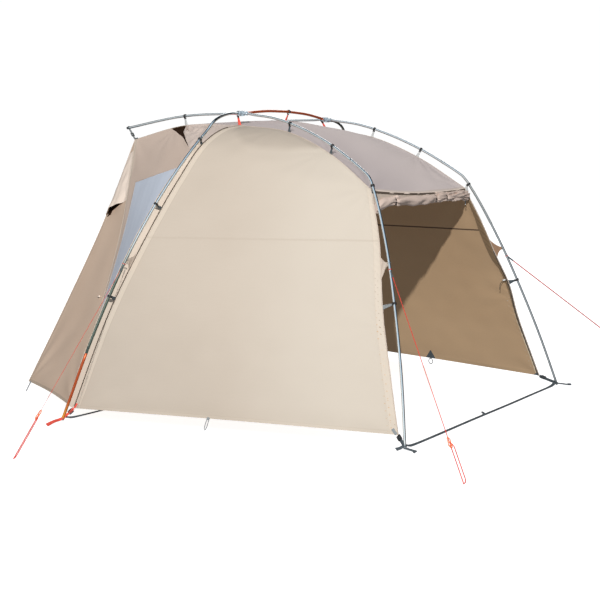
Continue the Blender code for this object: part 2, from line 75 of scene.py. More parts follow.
class Side(Enum):
    """One of the two mirrored sides."""

    NEAR = "near"
    FAR = "far"

    @property
    def sign(self) -> float:
        """The sign of Y on this side."""
        return -1.0 if self is Side.NEAR else 1.0

    def mirror(self, points: Any) -> Points:
        """Far-side points moved to this side."""
        moved = np.array(points, float)
        moved[..., 1] *= self.sign
        return moved


# Shader maths

def operator(kind: str, swapped: bool = False) -> Callable[["Socket", Any], "Socket"]:
    """The method of a Python operator that adds a Math node.

    Args:
        kind: The node's operation.
        swapped: Whether the socket stands on the operator's right side.

    Returns:
        The method.
    """
    def method(self: "Socket", other: Any) -> "Socket":
        """The node's value over both sides."""
        return self.maths(kind, *((other, self) if swapped else (self, other)))

    return method


class Socket:
    """A shader value that takes part in Python expressions like a number."""

    def __init__(self, shader: "Shader", output: bpy.types.NodeSocket) -> None:
        """Wrap an output of a material's node."""
        self.shader = shader
        self.output = output

    def maths(self, operation: str, *values: Any, **settings: Any) -> "Socket":
        """A Math node over some values, numbers or sockets in order."""
        settings["operation"] = operation
        return self.shader.node("ShaderNodeMath", settings, dict(enumerate(values)))

    __add__, __radd__ = operator("ADD"), operator("ADD", True)
    __sub__, __rsub__ = operator("SUBTRACT"), operator("SUBTRACT", True)
    __mul__, __rmul__ = operator("MULTIPLY"), operator("MULTIPLY", True)
    __truediv__, __mod__ = operator("DIVIDE"), operator("FLOORED_MODULO")
    __gt__ = operator("GREATER_THAN")

    def clamp(self) -> "Socket":
        """The value kept between 0 and 1."""
        return self.maths("ADD", self, 0.0, use_clamp=True)

    def wave(self, period: float) -> "Socket":
        """A sine from 0 to 1 with a period in the value's own unit."""
        return self.maths("SINE", self * (math.tau / period)) * 0.5 + 0.5

    def band(self, start: float, end: float, soft: float) -> "Socket":
        """1 between a start and an end, with edges as wide as soft."""
        return ((self - start) / soft).clamp() * ((end - self) / soft).clamp()


class Shader:
    """The nodes of one procedural material, or of the world."""

    def __init__(self, owner: Any) -> None:
        """Start the nodes of a material or a world."""
        self.owner = owner
        owner.use_nodes = True
        self.tree = owner.node_tree

    def feed(self, target: bpy.types.NodeSocket, value: Any) -> None:
        """Link or set one input, and give a plain colour its alpha."""
        if isinstance(value, Socket):
            self.tree.links.new(value.output, target)
        elif target.type == "RGBA" and len(value) == 3:
            target.default_value = (*value, 1.0)
        else:
            target.default_value = value

    def node(self, kind: str, settings: Optional[dict[str, Any]] = None,
             inputs: Optional[dict[Any, Any]] = None, output: Any = 0) -> Socket:
        """Add any node.

        Args:
            kind: The node's type.
            settings: Its properties, which are set first.
            inputs: Values or sockets by input name or index.
            output: The name or index of the output that is wanted.

        Returns:
            That output.
        """
        made = self.tree.nodes.new(kind)
        for key, value in (settings or {}).items():
            setattr(made, key, value)
        for key, value in (inputs or {}).items():
            self.feed(made.inputs[key], value)
        return Socket(self, made.outputs[output])

    def mix(self, factor: Any, low: Any, high: Any) -> Socket:
        """A blend of two colours, low at factor 0 and high at factor 1."""
        settings = {"data_type": "RGBA", "clamp_factor": True}
        return self.node("ShaderNodeMix", settings, {0: factor, 6: low, 7: high}, 2)

    def layer(self, name: str) -> Socket:
        """A number that the mesh stores at each point."""
        settings = {"attribute_name": name, "attribute_type": "GEOMETRY"}
        return self.node("ShaderNodeAttribute", settings, {}, "Fac")

    def grain(self) -> tuple[Socket, Socket, Socket]:
        """The surface coordinates in metres: the vector, its across part and its along part."""
        vector = self.node("ShaderNodeUVMap", {"uv_map": UV_NAME})
        split = self.node("ShaderNodeSeparateXYZ", {}, {0: vector}, "X")
        along = Socket(self, split.output.node.outputs["Y"])
        return vector, split, along

    def noise(self, vector: Socket, scale: Union[float, tuple[float, float, float]],
              detail: float = 2.0) -> Socket:
        """Noise over a vector.

        Args:
            vector: The coordinates.
            scale: Cells per metre, one number or one for each axis.
            detail: How many finer octaves are added.

        Returns:
            A value around one half.
        """
        if isinstance(scale, tuple):
            stretch = {"operation": "MULTIPLY"}
            vector = self.node("ShaderNodeVectorMath", stretch, {0: vector, 1: scale})
            scale = 1.0
        inputs = {"Vector": vector, "Scale": scale, "Detail": detail}
        return self.node("ShaderNodeTexNoise", {}, inputs, "Fac")

    def finish(self, colour: Any, height: Optional[Socket] = None, roughness: Any = 0.8,
               **constants: Any) -> bpy.types.Material:
        """Feed the surface.

        Args:
            colour: The base colour.
            height: The relief in metres.
            roughness: A number or a socket.
            constants: Other inputs of the surface by name, with _ for a space.

        Returns:
            The material.
        """
        surface = self.tree.nodes["Principled BSDF"]
        values = {"Base_Color": colour, "Roughness": roughness, **constants}
        if height is not None:
            inputs = {"Strength": 0.7, "Distance": 1.0, "Height": height}
            values["Normal"] = self.node("ShaderNodeBump", {}, inputs)
        for key, value in values.items():
            self.feed(surface.inputs[key.replace("_", " ")], value)
        return self.owner


# Finishes

MADE: dict[str, bpy.types.Material] = {}


@dataclass(frozen=True)
class Finish:
    """A material made once, on first use, and the record's slot that it belongs to."""

    name: str
    slot: str = field(default="", kw_only=True)

    def material(self) -> bpy.types.Material:
        """The material of this finish."""
        if self.name not in MADE:
            MADE[self.name] = self.make(Shader(bpy.data.materials.new(f"{self.name}_finish")))
        return MADE[self.name]

    def make(self, shader: Shader) -> bpy.types.Material:
        """Build the nodes."""
        raise NotImplementedError


@dataclass(frozen=True)
class Band:
    """A stripe of another colour, at some distance from an edge of a panel."""

    edge: str
    start: float
    end: float
    colour: Colour
    soft: float = 0.002
    strength: float = 1.0


@dataclass(frozen=True)
class Stitching:
    """A row of stitches at some distance from an edge of a panel."""

    edge: str
    at: float
    colour: Colour = (0.30, 0.24, 0.18)
    width: float = 0.0016
    pitch: float = 0.005


@dataclass(frozen=True)
class ClothFinish(Finish):
    """Coated polyester: plain weave, drifting tone, stripes, stitching and dust low down; on some
    finishes the stripes are painted light or shade.
    """

    colour: Colour
    deep: Colour
    bands: tuple[Band, ...] = ()
    stitching: tuple[Stitching, ...] = ()
    thread: float = 0.0014
    roughness: float = 0.82
    dust: Colour = (0.36, 0.29, 0.21)

    def make(self, shader: Shader) -> bpy.types.Material:
        """Build the nodes."""
        grain, across, along = shader.grain()
        patches = shader.noise(grain, 1.6, 3.0)
        slubs = shader.noise(grain, (9.0, 160.0, 1.0), 2.0)
        fine = shader.noise(grain, 90.0, 2.0)
        tone = patches * 1.3 + slubs * 0.35 + fine * 0.25 - 0.45
        colour = shader.mix(tone.clamp(), self.colour, self.deep)
        puckers = shader.noise(grain, 55.0, 1.0)
        weave = across.wave(self.thread) * along.wave(self.thread)
        height = weave * 0.00006 + slubs * 0.00012
        # bands: trim colours, and on some finishes painted light or painted shade
        for band in self.bands:
            mask = shader.layer(band.edge).band(band.start, band.end, band.soft)
            colour = shader.mix(mask * band.strength, colour, band.colour)
            height = height + mask * 0.0004
        for row in self.stitching:
            line = shader.layer(row.edge).band(row.at - row.width, row.at + row.width, row.width)
            dash = ((across + along) % row.pitch) > row.pitch * 0.3
            colour = shader.mix(line * dash * 0.55, colour, row.colour)
            pull = shader.layer(row.edge).band(row.at - 0.020, row.at + 0.020, 0.018)
            height = height - line * 0.0003 + pull * puckers * 0.0022
        low = (1.0 - shader.layer("height") / 0.22).clamp()
        colour = shader.mix(low * patches * 0.35, colour, self.dust)
        return shader.finish(colour, height, self.roughness + fine * 0.1, Specular_IOR_Level=0.25)


@dataclass(frozen=True)
class FilmFinish(Finish):
    """Window film with the closed curtain showing through it, the curtain's folds in painted shade.
    """

    colour: Colour
    fold: Colour

    def make(self, shader: Shader) -> bpy.types.Material:
        """Build the nodes."""
        grain, across, _ = shader.grain()
        drift = shader.noise(grain, (2.0, 0.6, 1.0), 1.0)
        # painted shade: the colour darkens in stripes where the curtain behind the film folds
        folds = (across + drift * 0.12).wave(0.085)
        colour = shader.mix(folds * 0.2 + shader.noise(grain, 3.0) * 0.6, self.colour, self.fold)
        height = shader.noise(grain, 14.0, 1.0) * 0.0006
        return shader.finish(colour, height, 0.32, Specular_IOR_Level=0.4)


@dataclass(frozen=True)
class NetFinish(Finish):
    """Dark insect net in a vent, darkened further to stand for the shade of the hollow behind it.
    """

    colour: Colour
    cell: float = 0.002

    def make(self, shader: Shader) -> bpy.types.Material:
        """Build the nodes."""
        _, across, along = shader.grain()
        threads = across.wave(self.cell) * along.wave(self.cell)
        dark = tuple(part * 0.4 for part in self.colour)
        return shader.finish(shader.mix(threads, self.colour, dark), threads * -0.0003, 0.95,
                             Specular_IOR_Level=0.05)


@dataclass(frozen=True)
class TubeFinish(Finish):
    """Drawn aluminium tube: fine lines along it, scuffs where it slides, and a painted reflection
    low down where given.
    """

    colour: Colour
    worn: Colour
    metallic: float = 1.0
    roughness: float = 0.3
    coat: float = 0.0
    # foot: the colour of a painted reflection on the low part of the tube; the next two numbers set
    # where it fades out
    foot: Optional[Colour] = None
    reflection_top: float = 0.143
    reflection_fade: float = 0.11

    def make(self, shader: Shader) -> bpy.types.Material:
        """Build the nodes."""
        grain, _, _ = shader.grain()
        lines = shader.noise(grain, (900.0, 4.0, 1.0), 2.0)
        scuffs = shader.noise(grain, (60.0, 22.0, 1.0), 4.0)
        near_end = (1.0 - shader.layer("end") / 0.06).clamp()
        wear = ((scuffs - 0.52) * 6.0).clamp() * (near_end * 0.6 + 0.15)
        colour = shader.mix(lines * 0.25 + wear, self.colour, self.worn)
        # painted reflection: low down the tube takes the foot colour, standing for its surroundings
        # mirrored in it
        if self.foot:
            low = ((self.reflection_top - shader.layer("height")) / self.reflection_fade).clamp()
            colour = shader.mix(low, colour, self.foot)
        rough = lines * 0.05 + wear * 0.2 + (self.roughness - 0.02)
        return shader.finish(colour, lines * 0.00003, rough, Metallic=self.metallic,
                             Coat_Weight=self.coat)


@dataclass(frozen=True)
class WebbingFinish(Finish):
    """Woven webbing with cross ribs and a fine fuzz."""

    colour: Colour
    light: Colour
    rib: float = 0.0022

    def make(self, shader: Shader) -> bpy.types.Material:
        """Build the nodes."""
        grain, across, along = shader.grain()
        twill = (along + across * 0.6).wave(self.rib)
        fuzz = shader.noise(grain, 420.0, 2.0)
        colour = shader.mix(twill * 0.35 + fuzz * 0.4, self.colour, self.light)
        return shader.finish(colour, twill * 0.0003, 0.88, Specular_IOR_Level=0.2)


@dataclass(frozen=True)
class CordFinish(Finish):
    """Braided guy cord with a reflecting fleck."""

    colour: Colour
    light: Colour
    lay: float = 0.008

    def make(self, shader: Shader) -> bpy.types.Material:
        """Build the nodes."""
        _, across, along = shader.grain()
        braid = (along + across * 1.4).wave(self.lay) * (along - across * 1.4).wave(self.lay)
        fleck = (along % 0.03) > 0.026
        colour = shader.mix(braid * 0.8 + fleck * 0.4, self.colour, self.light)
        return shader.finish(colour, braid * 0.0004, 0.7)


@dataclass(frozen=True)
class PlasticFinish(Finish):
    """Moulded plastic with a fine spark-eroded grain and rubbed spots."""

    colour: Colour
    rubbed: Colour
    roughness: float = 0.45
    coat: float = 0.0
    transmission: float = 0.0

    def make(self, shader: Shader) -> bpy.types.Material:
        """Build the nodes."""
        place = shader.node("ShaderNodeTexCoord", {}, {}, "Object")
        grain = shader.noise(place, 900.0, 2.0)
        rub = ((shader.noise(place, 70.0, 3.0) - 0.5) * 3.0).clamp()
        colour = shader.mix(rub * 0.5, self.colour, self.rubbed)
        return shader.finish(colour, grain * 0.00008, rub * 0.15 + self.roughness,
                             Coat_Weight=self.coat, Transmission_Weight=self.transmission)


@dataclass(frozen=True)
class FloorFinish(Finish):
    """A plain pale studio floor that glows a little, so shadows on it stay faint."""

    colour: Colour
    glow: float = 0.92

    def make(self, shader: Shader) -> bpy.types.Material:
        """Build the nodes."""
        place = shader.node("ShaderNodeTexCoord", {}, {}, "Object")
        cloud = shader.noise(place, 0.4, 2.0)
        dim = tuple(part * 0.985 for part in self.colour)
        return shader.finish(shader.mix(cloud, self.colour, dim), None, 0.9,
                             Specular_IOR_Level=0.0, Emission_Color=self.colour,
                             Emission_Strength=self.glow)


CREAM = (0.64, 0.55, 0.45)
BROWN_EDGE = (0.43, 0.35, 0.27)
SHADE = (0.24, 0.16, 0.09)

WALL = ClothFinish(
    "wall_cloth", (0.548, 0.472, 0.389), (0.498, 0.424, 0.345),
    bands=(
        # painted light: a wide soft band makes the wall lighter towards its door edge, where the
        # light falls stronger
        Band("right", -0.6, 1.2, (0.61, 0.55, 0.465), soft=1.2),
        Band("left", 0.0, 0.045, CREAM, strength=0.7),
        Band("left", 0.044, 0.049, (0.40, 0.33, 0.26), strength=0.5),
        Band("right", 0.0, 0.060, CREAM, strength=0.4),
        Band("low", 0.0, 0.024, CREAM, strength=0.3),
        Band("seam", -0.005, 0.005, (0.47, 0.40, 0.32), strength=0.4),
        # painted shade: a darker crescent over the top of the wall, where less light comes through
        # the cloth
        Band("crown", 0.0, 9.0, (0.44, 0.376, 0.308), soft=0.07, strength=0.75),
    ),
    stitching=(
        Stitching("left", 0.012), Stitching("right", 0.055), Stitching("low", 0.022),
        Stitching("seam", 0.006, (0.46, 0.385, 0.31)),
        Stitching("seam", -0.006, (0.46, 0.385, 0.31)), Stitching("high", 0.012),
    ), slot="wall_cloth")
ROOF = ClothFinish(
    "roof_cloth", (0.475, 0.411, 0.404), (0.442, 0.378, 0.366),
    # painted light: a wide soft band makes the roof lighter towards its far edge, where the light
    # falls stronger
    bands=(Band("right", -1.0, 1.5, (0.78, 0.675, 0.625), soft=1.5, strength=0.78),
           Band("high", 0.0, 0.020, (0.62, 0.52, 0.45), strength=0.8),
           Band("low", 0.0, 0.014, (0.45, 0.39, 0.36), strength=0.5)),
    stitching=(Stitching("left", 0.012), Stitching("right", 0.012), Stitching("high", 0.017)),
    slot="roof_cloth")
REAR_ROOF = ClothFinish(
    "rear_roof_cloth", (0.52, 0.45, 0.43), (0.48, 0.41, 0.385),
    bands=(Band("low", 0.0, 0.028, (0.56, 0.48, 0.42), strength=0.6),),
    stitching=(Stitching("left", 0.012), Stitching("right", 0.012), Stitching("low", 0.025)),
    slot="roof_cloth")
SIDE_CLOTH = ClothFinish(
    "side_cloth", (0.64, 0.512, 0.425), (0.55, 0.43, 0.35),
    bands=(
        Band("right", 0.0, 0.070, (0.60, 0.52, 0.44), strength=0.85),
        Band("left", 0.0, 0.026, (0.58, 0.49, 0.40), strength=0.9),
        Band("low", 0.0, 0.026, BROWN_EDGE, strength=0.5),
    ),
    stitching=(Stitching("right", 0.062), Stitching("left", 0.022), Stitching("low", 0.022)),
    slot="side_cloth")
CORNER_CLOTH = ClothFinish(
    "corner_cloth", (0.655, 0.505, 0.388), (0.575, 0.42, 0.31),
    bands=(Band("left", 0.0, 0.024, BROWN_EDGE, strength=0.6),
           Band("low", 0.0, 0.024, BROWN_EDGE, strength=0.6)),
    stitching=(Stitching("left", 0.020), Stitching("low", 0.020), Stitching("right", 0.014)),
    slot="side_cloth")
INNER = ClothFinish("inner_cloth", (0.57, 0.39, 0.23), (0.515, 0.345, 0.20))
WALL_INNER = ClothFinish(
    "wall_inner_cloth", (0.57, 0.39, 0.23), (0.515, 0.345, 0.20),
    bands=(Band("low", 0.0, 0.5, (0.66, 0.475, 0.30), soft=0.35, strength=0.15),
           Band("right", 0.020, 0.034, (0.88, 0.74, 0.53), soft=0.003, strength=0.8),
           Band("seam", -0.007, 0.007, (0.11, 0.07, 0.045), soft=0.003),
           # painted shade: a dark band inside the door edge, where the doubled zip flap lets no
           # light through the cloth
           Band("flap", -1.0, 0.072, SHADE, soft=0.004)),
    stitching=(Stitching("low", 0.026), Stitching("flap", 0.066)))
HOOD_CLOTH = ClothFinish("hood_cloth", (0.84, 0.71, 0.60), (0.76, 0.63, 0.53), slot="wall_cloth")
FLAP_CLOTH = ClothFinish(
    "flap_cloth", (0.70, 0.59, 0.485), (0.63, 0.525, 0.425),
    stitching=(Stitching("left", 0.006),), slot="wall_cloth")
LIGHT_CLOTH = ClothFinish(
    "light_cloth", (0.59, 0.495, 0.41), (0.52, 0.43, 0.355),
    bands=(Band("low", 0.0, 0.010, (0.55, 0.46, 0.38), strength=0.7),), slot="wall_cloth")
CROWN_CLOTH = ClothFinish(
    "crown_cloth", (0.645, 0.54, 0.475), (0.56, 0.455, 0.39), slot="wall_cloth")
ROLL_CLOTH = ClothFinish("rolled_cloth", (0.72, 0.575, 0.495), (0.54, 0.42, 0.345))
# painted shade: the door gussets' back faces get a darker colour for the shade they stand in
SHADED_GUSSET_BACK = ClothFinish("gusset_back", (0.34, 0.21, 0.13), (0.30, 0.18, 0.11))
PIPING = ClothFinish("piping", (0.15, 0.115, 0.085), (0.09, 0.07, 0.055))
SILVER = TubeFinish("silver_tube", (0.74, 0.79, 0.82), (0.56, 0.60, 0.63),
                    roughness=0.09, slot="silver_pole")
# painted reflection: the arch leg turns dark green low down, standing for dark surroundings
# mirrored in the silver tube
SILVER_PAINTED_REFLECTION = TubeFinish("dark_silver_tube", (0.74, 0.79, 0.82), (0.56, 0.60, 0.63),
                         roughness=0.09, foot=(0.19, 0.24, 0.21), reflection_top=1.32,
                         reflection_fade=0.34, slot="silver_pole")
# painted reflection: the orange tube turns yellow-orange near the ground, standing for the floor
# mirrored in it
ORANGE = TubeFinish("orange_tube", (0.52, 0.090, 0.018), (0.40, 0.08, 0.03),
                    metallic=0.5, roughness=0.34, coat=0.3, foot=(0.85, 0.33, 0.04),
                    slot="orange_pole")
BARE_POLES = (SILVER, SILVER_PAINTED_REFLECTION, ORANGE)
CLEAR = PlasticFinish("hub_plastic", (0.50, 0.62, 0.70), (0.70, 0.77, 0.82),
                      roughness=0.16, coat=0.5, transmission=0.35, slot="hub_plastic")
BLACK = PlasticFinish("black_plastic", (0.022, 0.023, 0.024), (0.07, 0.07, 0.07))
GREY = PlasticFinish("grey_plastic", (0.12, 0.14, 0.15), (0.22, 0.23, 0.24))
WHITE = PlasticFinish("white_plastic", (0.80, 0.80, 0.78), (0.65, 0.64, 0.62))
ORANGE_PLASTIC = PlasticFinish("orange_plastic", (0.82, 0.20, 0.03),
                               (0.90, 0.34, 0.10), roughness=0.38)
DARK_WEB = WebbingFinish("dark_webbing", (0.055, 0.070, 0.080), (0.12, 0.14, 0.15), slot="webbing")
BROWN_WEB = WebbingFinish("brown_webbing", (0.045, 0.024, 0.015), (0.11, 0.06, 0.04),
                          slot="webbing")
GREY_WEB = WebbingFinish("grey_webbing", (0.22, 0.235, 0.24), (0.34, 0.36, 0.36), slot="webbing")
PALE_WEB = WebbingFinish("pale_webbing", (0.46, 0.47, 0.46), (0.60, 0.60, 0.58), slot="webbing")
RED_WEB = WebbingFinish("red_webbing", (0.78, 0.070, 0.045), (0.90, 0.17, 0.12), slot="red_webbing")
CORD = CordFinish("guy_cord", (0.62, 0.030, 0.020), (0.76, 0.11, 0.07), slot="guy_cord")
ELASTIC = CordFinish("elastic_cord", (0.24, 0.25, 0.255), (0.42, 0.43, 0.43))
FILM = FilmFinish("window_film", (0.65, 0.70, 0.785), (0.575, 0.625, 0.715), slot="window_film")
# partly painted shade: a real dark net, made near black brown for the shade in the vent behind it
NET_WITH_PAINTED_SHADE = NetFinish("vent_net", (0.030, 0.013, 0.006))
FLOOR = FloorFinish("studio_floor", (0.94, 0.94, 0.94))


# Lines and meshes

def unit(vectors: Any) -> np.ndarray:
    """Vectors of length one in the directions of the given ones."""
    vectors = np.asarray(vectors, float)
    size = np.linalg.norm(vectors, axis=-1, keepdims=True)
    return vectors / np.maximum(size, 1e-12)


def smooth(points: Any, steps: int = 8) -> Points:
    """A smooth line through points.

    Args:
        points: The points that it passes through.
        steps: Cells between two of them.

    Returns:
        The line's points.
    """
    pts = np.asarray(points, float)
    step = np.diff(pts, axis=0)
    gaps = np.linalg.norm(step, axis=1)
    slopes = step / gaps[:, None]
    ways = [slopes[0]]
    for i in range(1, len(gaps)):
        whole = gaps[i - 1] + gaps[i]
        ways.append((slopes[i - 1] * gaps[i] + slopes[i] * gaps[i - 1]) / whole)
    ways.append(slopes[-1])
    t = np.linspace(0.0, 1.0, steps, endpoint=False)[:, None]
    parts = []
    for i, gap in enumerate(gaps):
        place = pts[i] * (2 * t ** 3 - 3 * t ** 2 + 1) + pts[i + 1] * (3 * t ** 2 - 2 * t ** 3)
        lean = ways[i] * (t ** 3 - 2 * t ** 2 + t) + ways[i + 1] * (t ** 3 - t ** 2)
        parts.append(place + lean * gap)
    return np.concatenate([*parts, pts[-1:]])


def lengths(line: Points) -> np.ndarray:
    """The distance along a line at each of its points."""
    return np.concatenate([[0.0], np.cumsum(np.linalg.norm(np.diff(line, axis=0), axis=1))])


def trace(want: Any, marks: np.ndarray, line: Points) -> Points:
    """Points of a line at some values of a number that rises along it."""
    return np.stack([np.interp(want, marks, line[:, axis]) for axis in range(3)], axis=-1)


def even(points: Any, cells: int, warp: float = 0.0) -> Points:
    """A smooth line through points, cut into cells of equal length.

    Args:
        points: The points that it passes through.
        cells: How many cells.
        warp: How far the cells are pushed towards the end, as a share of the length.

    Returns:
        The line's points.
    """
    line = smooth(points, 24)
    reach = lengths(line)
    part = np.linspace(0.0, 1.0, cells + 1)
    want = reach[-1] * (part + warp * np.sin(math.pi * part))
    want[-1] = reach[-1]
    return trace(want, reach, line)


def between(start: Points, end: Points, cells: int) -> Points:
    """Even steps from one point to another, or from one row of points to another."""
    return np.linspace(start, end, cells + 1)


def bar(centre: Points, half: Any) -> Points:
    """A short straight line, given by its middle and half of it."""
    return centre + np.outer((-1.0, 0.0, 1.0), half)


def square(way: Points, axis: Points) -> Points:
    """The part of a direction that is square to an axis, made one long."""
    return unit(way - axis * np.dot(way, axis))


def shares(grid: Grid) -> tuple[np.ndarray, np.ndarray]:
    """The share across and the share up of each point of a grid."""
    rows, columns = grid.shape[:2]
    return np.meshgrid(np.linspace(0.0, 1.0, columns), np.linspace(0.0, 1.0, rows))


def at_share(line: Points, share: float) -> Points:
    """The point at a share of a line's length."""
    reach = lengths(line)
    return trace(reach[-1] * share, reach, line)


def nearest(line: Points, target: Any) -> tuple[Points, Points]:
    """The point of a line that is nearest to a target, and the line's direction there."""
    fine = np.concatenate([np.linspace(a, b, 8, endpoint=False) for a, b in zip(line, line[1:])])
    at = int(np.clip(np.linalg.norm(fine - np.asarray(target), axis=1).argmin(), 1, len(fine) - 2))
    return fine[at], unit(fine[at + 1] - fine[at - 1])


def coons(low: Points, high: Points, left: Points, right: Points) -> Grid:
    """The surface between four edges.

    Args:
        low: The first row, from left to right.
        high: The last row, from left to right.
        left: The first column, from low to high.
        right: The last column, from low to high.

    Returns:
        Rows of points.
    """
    u = np.linspace(0.0, 1.0, len(low))[None, :, None]
    v = np.linspace(0.0, 1.0, len(left))[:, None, None]
    corners = ((1 - u) * (1 - v) * low[0] + u * (1 - v) * low[-1]
               + (1 - u) * v * high[0] + u * v * high[-1])
    rows = (1 - v) * low[None] + v * high[None]
    columns = (1 - u) * left[:, None] + u * right[:, None]
    return rows + columns - corners


def step(value: np.ndarray) -> np.ndarray:
    """A smooth step from 0 at 0 to 1 at 1."""
    held = np.clip(value, 0.0, 1.0)
    return held * held * (3 - 2 * held)


def make_mesh(name: str, points: Points, faces: list, uvs: np.ndarray,
              layers: dict[str, np.ndarray], slots: Optional[np.ndarray] = None,
              sharp: float = 45.0) -> bpy.types.Object:
    """A mesh object with its coordinates and layers.

    Args:
        name: The piece's name.
        points: The vertices.
        faces: Vertex numbers of each face.
        uvs: The coordinates in metres of each corner of each face.
        layers: Numbers stored at the vertices, by name.
        slots: The material number of each face.
        sharp: The angle in degrees over which an edge is shaded hard.

    Returns:
        The object.
    """
    mesh = bpy.data.meshes.new(name)
    mesh.from_pydata(points.tolist(), [], faces)
    mesh.uv_layers.new(name=UV_NAME).data.foreach_set("uv", uvs.reshape(-1))
    stored = {key: np.full(len(points), value) for key, value in LAYERS.items()}
    for key, values in {**stored, "height": points[:, 2], **layers}.items():
        kept = mesh.attributes.new(key, "FLOAT", "POINT")
        kept.data.foreach_set("value", np.asarray(values, np.float32))
    if slots is not None:
        mesh.polygons.foreach_set("material_index", slots.astype(np.int32))
    mesh.shade_smooth()
    mesh.set_sharp_from_angle(angle=math.radians(sharp))
    mesh.update()
    made = bpy.data.objects.new(name, mesh)
    bpy.context.scene.collection.objects.link(made)
    return made


def loft(name: str, rings: np.ndarray, sharp: float = 45.0,
         closed: bool = False) -> bpy.types.Object:
    """A body through rings of points, with a flat face over each end.

    Args:
        name: The piece's name.
        rings: Rings x points x 3, every ring round the same way.
        sharp: The angle in degrees over which an edge is shaded hard.
        closed: Whether the last ring joins the first one.

    Returns:
        The object.
    """
    count, size = rings.shape[:2]
    number = np.arange(count * size).reshape(count, size)
    walk = rings
    if closed:
        number, walk = (np.concatenate([rows, rows[:1]]) for rows in (number, rings))
    onward = np.roll(number, -1, axis=1)
    faces = np.stack([number[:-1], onward[:-1], onward[1:], number[1:]], -1)
    faces = faces.reshape(-1, 4).tolist()
    along = lengths(walk.mean(axis=1))
    girth = np.linalg.norm(np.roll(walk, -1, axis=1) - walk, axis=2)
    around = np.pad(np.cumsum(girth, axis=1), ((0, 0), (1, 0)))
    flat = np.stack([around, np.broadcast_to(along[:, None], around.shape)], -1)
    uvs = np.stack([flat[:-1, :-1], flat[:-1, 1:], flat[1:, 1:], flat[1:, :-1]], 2).reshape(-1, 2)
    if not closed:
        turn = np.linspace(0.0, math.tau, size, endpoint=False)
        disc = np.stack([np.cos(turn), np.sin(turn)], -1) * around[0, -1] / math.tau
        faces += [number[0, ::-1].tolist(), number[-1].tolist()]
        uvs = np.concatenate([uvs, disc[::-1], disc])
    reach = np.minimum(along, along[-1] - along)[:count]
    return make_mesh(name, rings.reshape(-1, 3), faces, uvs, {"end": np.repeat(reach, size)},
                     sharp=sharp)


def across_of(axis: Points) -> Points:
    """Some direction square to an axis."""
    start = np.cross(axis, DOWN)
    return unit(start if np.linalg.norm(start) > 0.1 else np.cross(axis, (0.0, 1.0, 0.0)))


def frames(line: Points, closed: bool = False) -> tuple[Points, Points]:
    """Two directions across a line at each of its points, which don't twist."""
    if closed:
        ways = unit(np.roll(line, -1, axis=0) - np.roll(line, 1, axis=0))
    else:
        ways = unit(np.gradient(line, axis=0))
    across = [across_of(ways[0])]
    for way in ways[1:]:
        across.append(square(across[-1], way))
    return np.array(across), np.cross(ways, across)


def tube(name: str, line: Any, radius: Any, sides: int = 8, lip: float = 0.0004,
         closed: bool = False) -> bpy.types.Object:
    """A round body along a line, with its two ends chamfered.

    Args:
        name: The piece's name.
        line: The centre line.
        radius: One radius, or one for each point.
        sides: Sides of the round.
        lip: The chamfer of each end.
        closed: Whether the line is a loop.

    Returns:
        The object.
    """
    line = np.asarray(line, float)
    radii = np.broadcast_to(np.asarray(radius, float), (len(line),))
    if not closed:
        ahead, behind = unit(line[1] - line[0]) * lip, unit(line[-1] - line[-2]) * lip
        line = np.concatenate([line[:1], [line[0] + ahead], line[1:-1], [line[-1] - behind],
                               line[-1:]])
        radii = np.concatenate([[radii[0] - lip], radii, [radii[-1] - lip]])
    across, up = frames(line, closed)
    turn = np.linspace(0.0, math.tau, sides, endpoint=False)[None, :, None]
    spoke = across[:, None] * np.cos(turn) + up[:, None] * np.sin(turn)
    return loft(name, line[:, None] + spoke * radii[:, None, None], closed=closed)


def rod(name: str, line: Any, radius: Any, finish: Finish, sides: int = 8, lip: float = 0.0004,
        closed: bool = False, stands_for: Sequence[str] = ()) -> None:
    """Place a tube of one finish."""
    place(tube(name, line, radius, sides, lip, closed), finish, stands_for=stands_for)


def ring(name: str, centre: Any, normal: Any, radius: float, wire: float, finish: Finish) -> None:
    """Place a round ring of wire, its radius taken to the middle of the wire."""
    axis = unit(normal)
    start = across_of(axis)
    turn = np.linspace(0.0, math.tau, 28, endpoint=False)[:, None]
    circle = centre + (start * np.cos(turn) + np.cross(axis, start) * np.sin(turn)) * radius
    rod(name, circle, wire, finish, closed=True)


def web(name: str, line: Any, across: Any, width: Any, finish: Finish, thickness: float = 0.0018,
        slot: str = "", stands_for: Sequence[str] = ()) -> None:
    """Place a flat woven strap along a line.

    Args:
        name: The piece's name.
        line: The centre line.
        across: The direction of its width, one or one for each point.
        width: Its width, one or one for each point.
        finish: Its finish.
        thickness: Its thickness.
        slot: The record's slot, where it isn't the finish's own.
        stands_for: The frame's nodes that it stands for.
    """
    line = np.asarray(line, float)
    ways = unit(np.gradient(line, axis=0))
    wide = np.broadcast_to(np.asarray(across, float), line.shape)
    wide = unit(wide - ways * (wide * ways).sum(-1, keepdims=True))
    up = np.cross(ways, wide)
    half = np.broadcast_to(np.asarray(width, float) / 2, (len(line),))[:, None]
    corners = ((-1.0, -0.4), (-0.96, -1.0), (0.0, -1.0), (0.96, -1.0), (1.0, -0.4),
               (1.0, 0.4), (0.96, 1.0), (0.0, 1.0), (-0.96, 1.0), (-1.0, 0.4))
    rings = np.stack([line + wide * half * a + up * thickness / 2 * b for a, b in corners], axis=1)
    place(loft(name, rings, sharp=60.0), finish, slot=slot, stands_for=stands_for)


def join(name: str, parts: Sequence[bpy.types.Object]) -> bpy.types.Object:
    """Several meshes as one piece under one name."""
    chosen = list(parts)
    with bpy.context.temp_override(active_object=parts[0], object=parts[0],
                                   selected_objects=chosen, selected_editable_objects=chosen):
        bpy.ops.object.join()
    parts[0].name = parts[0].data.name = name
    return parts[0]


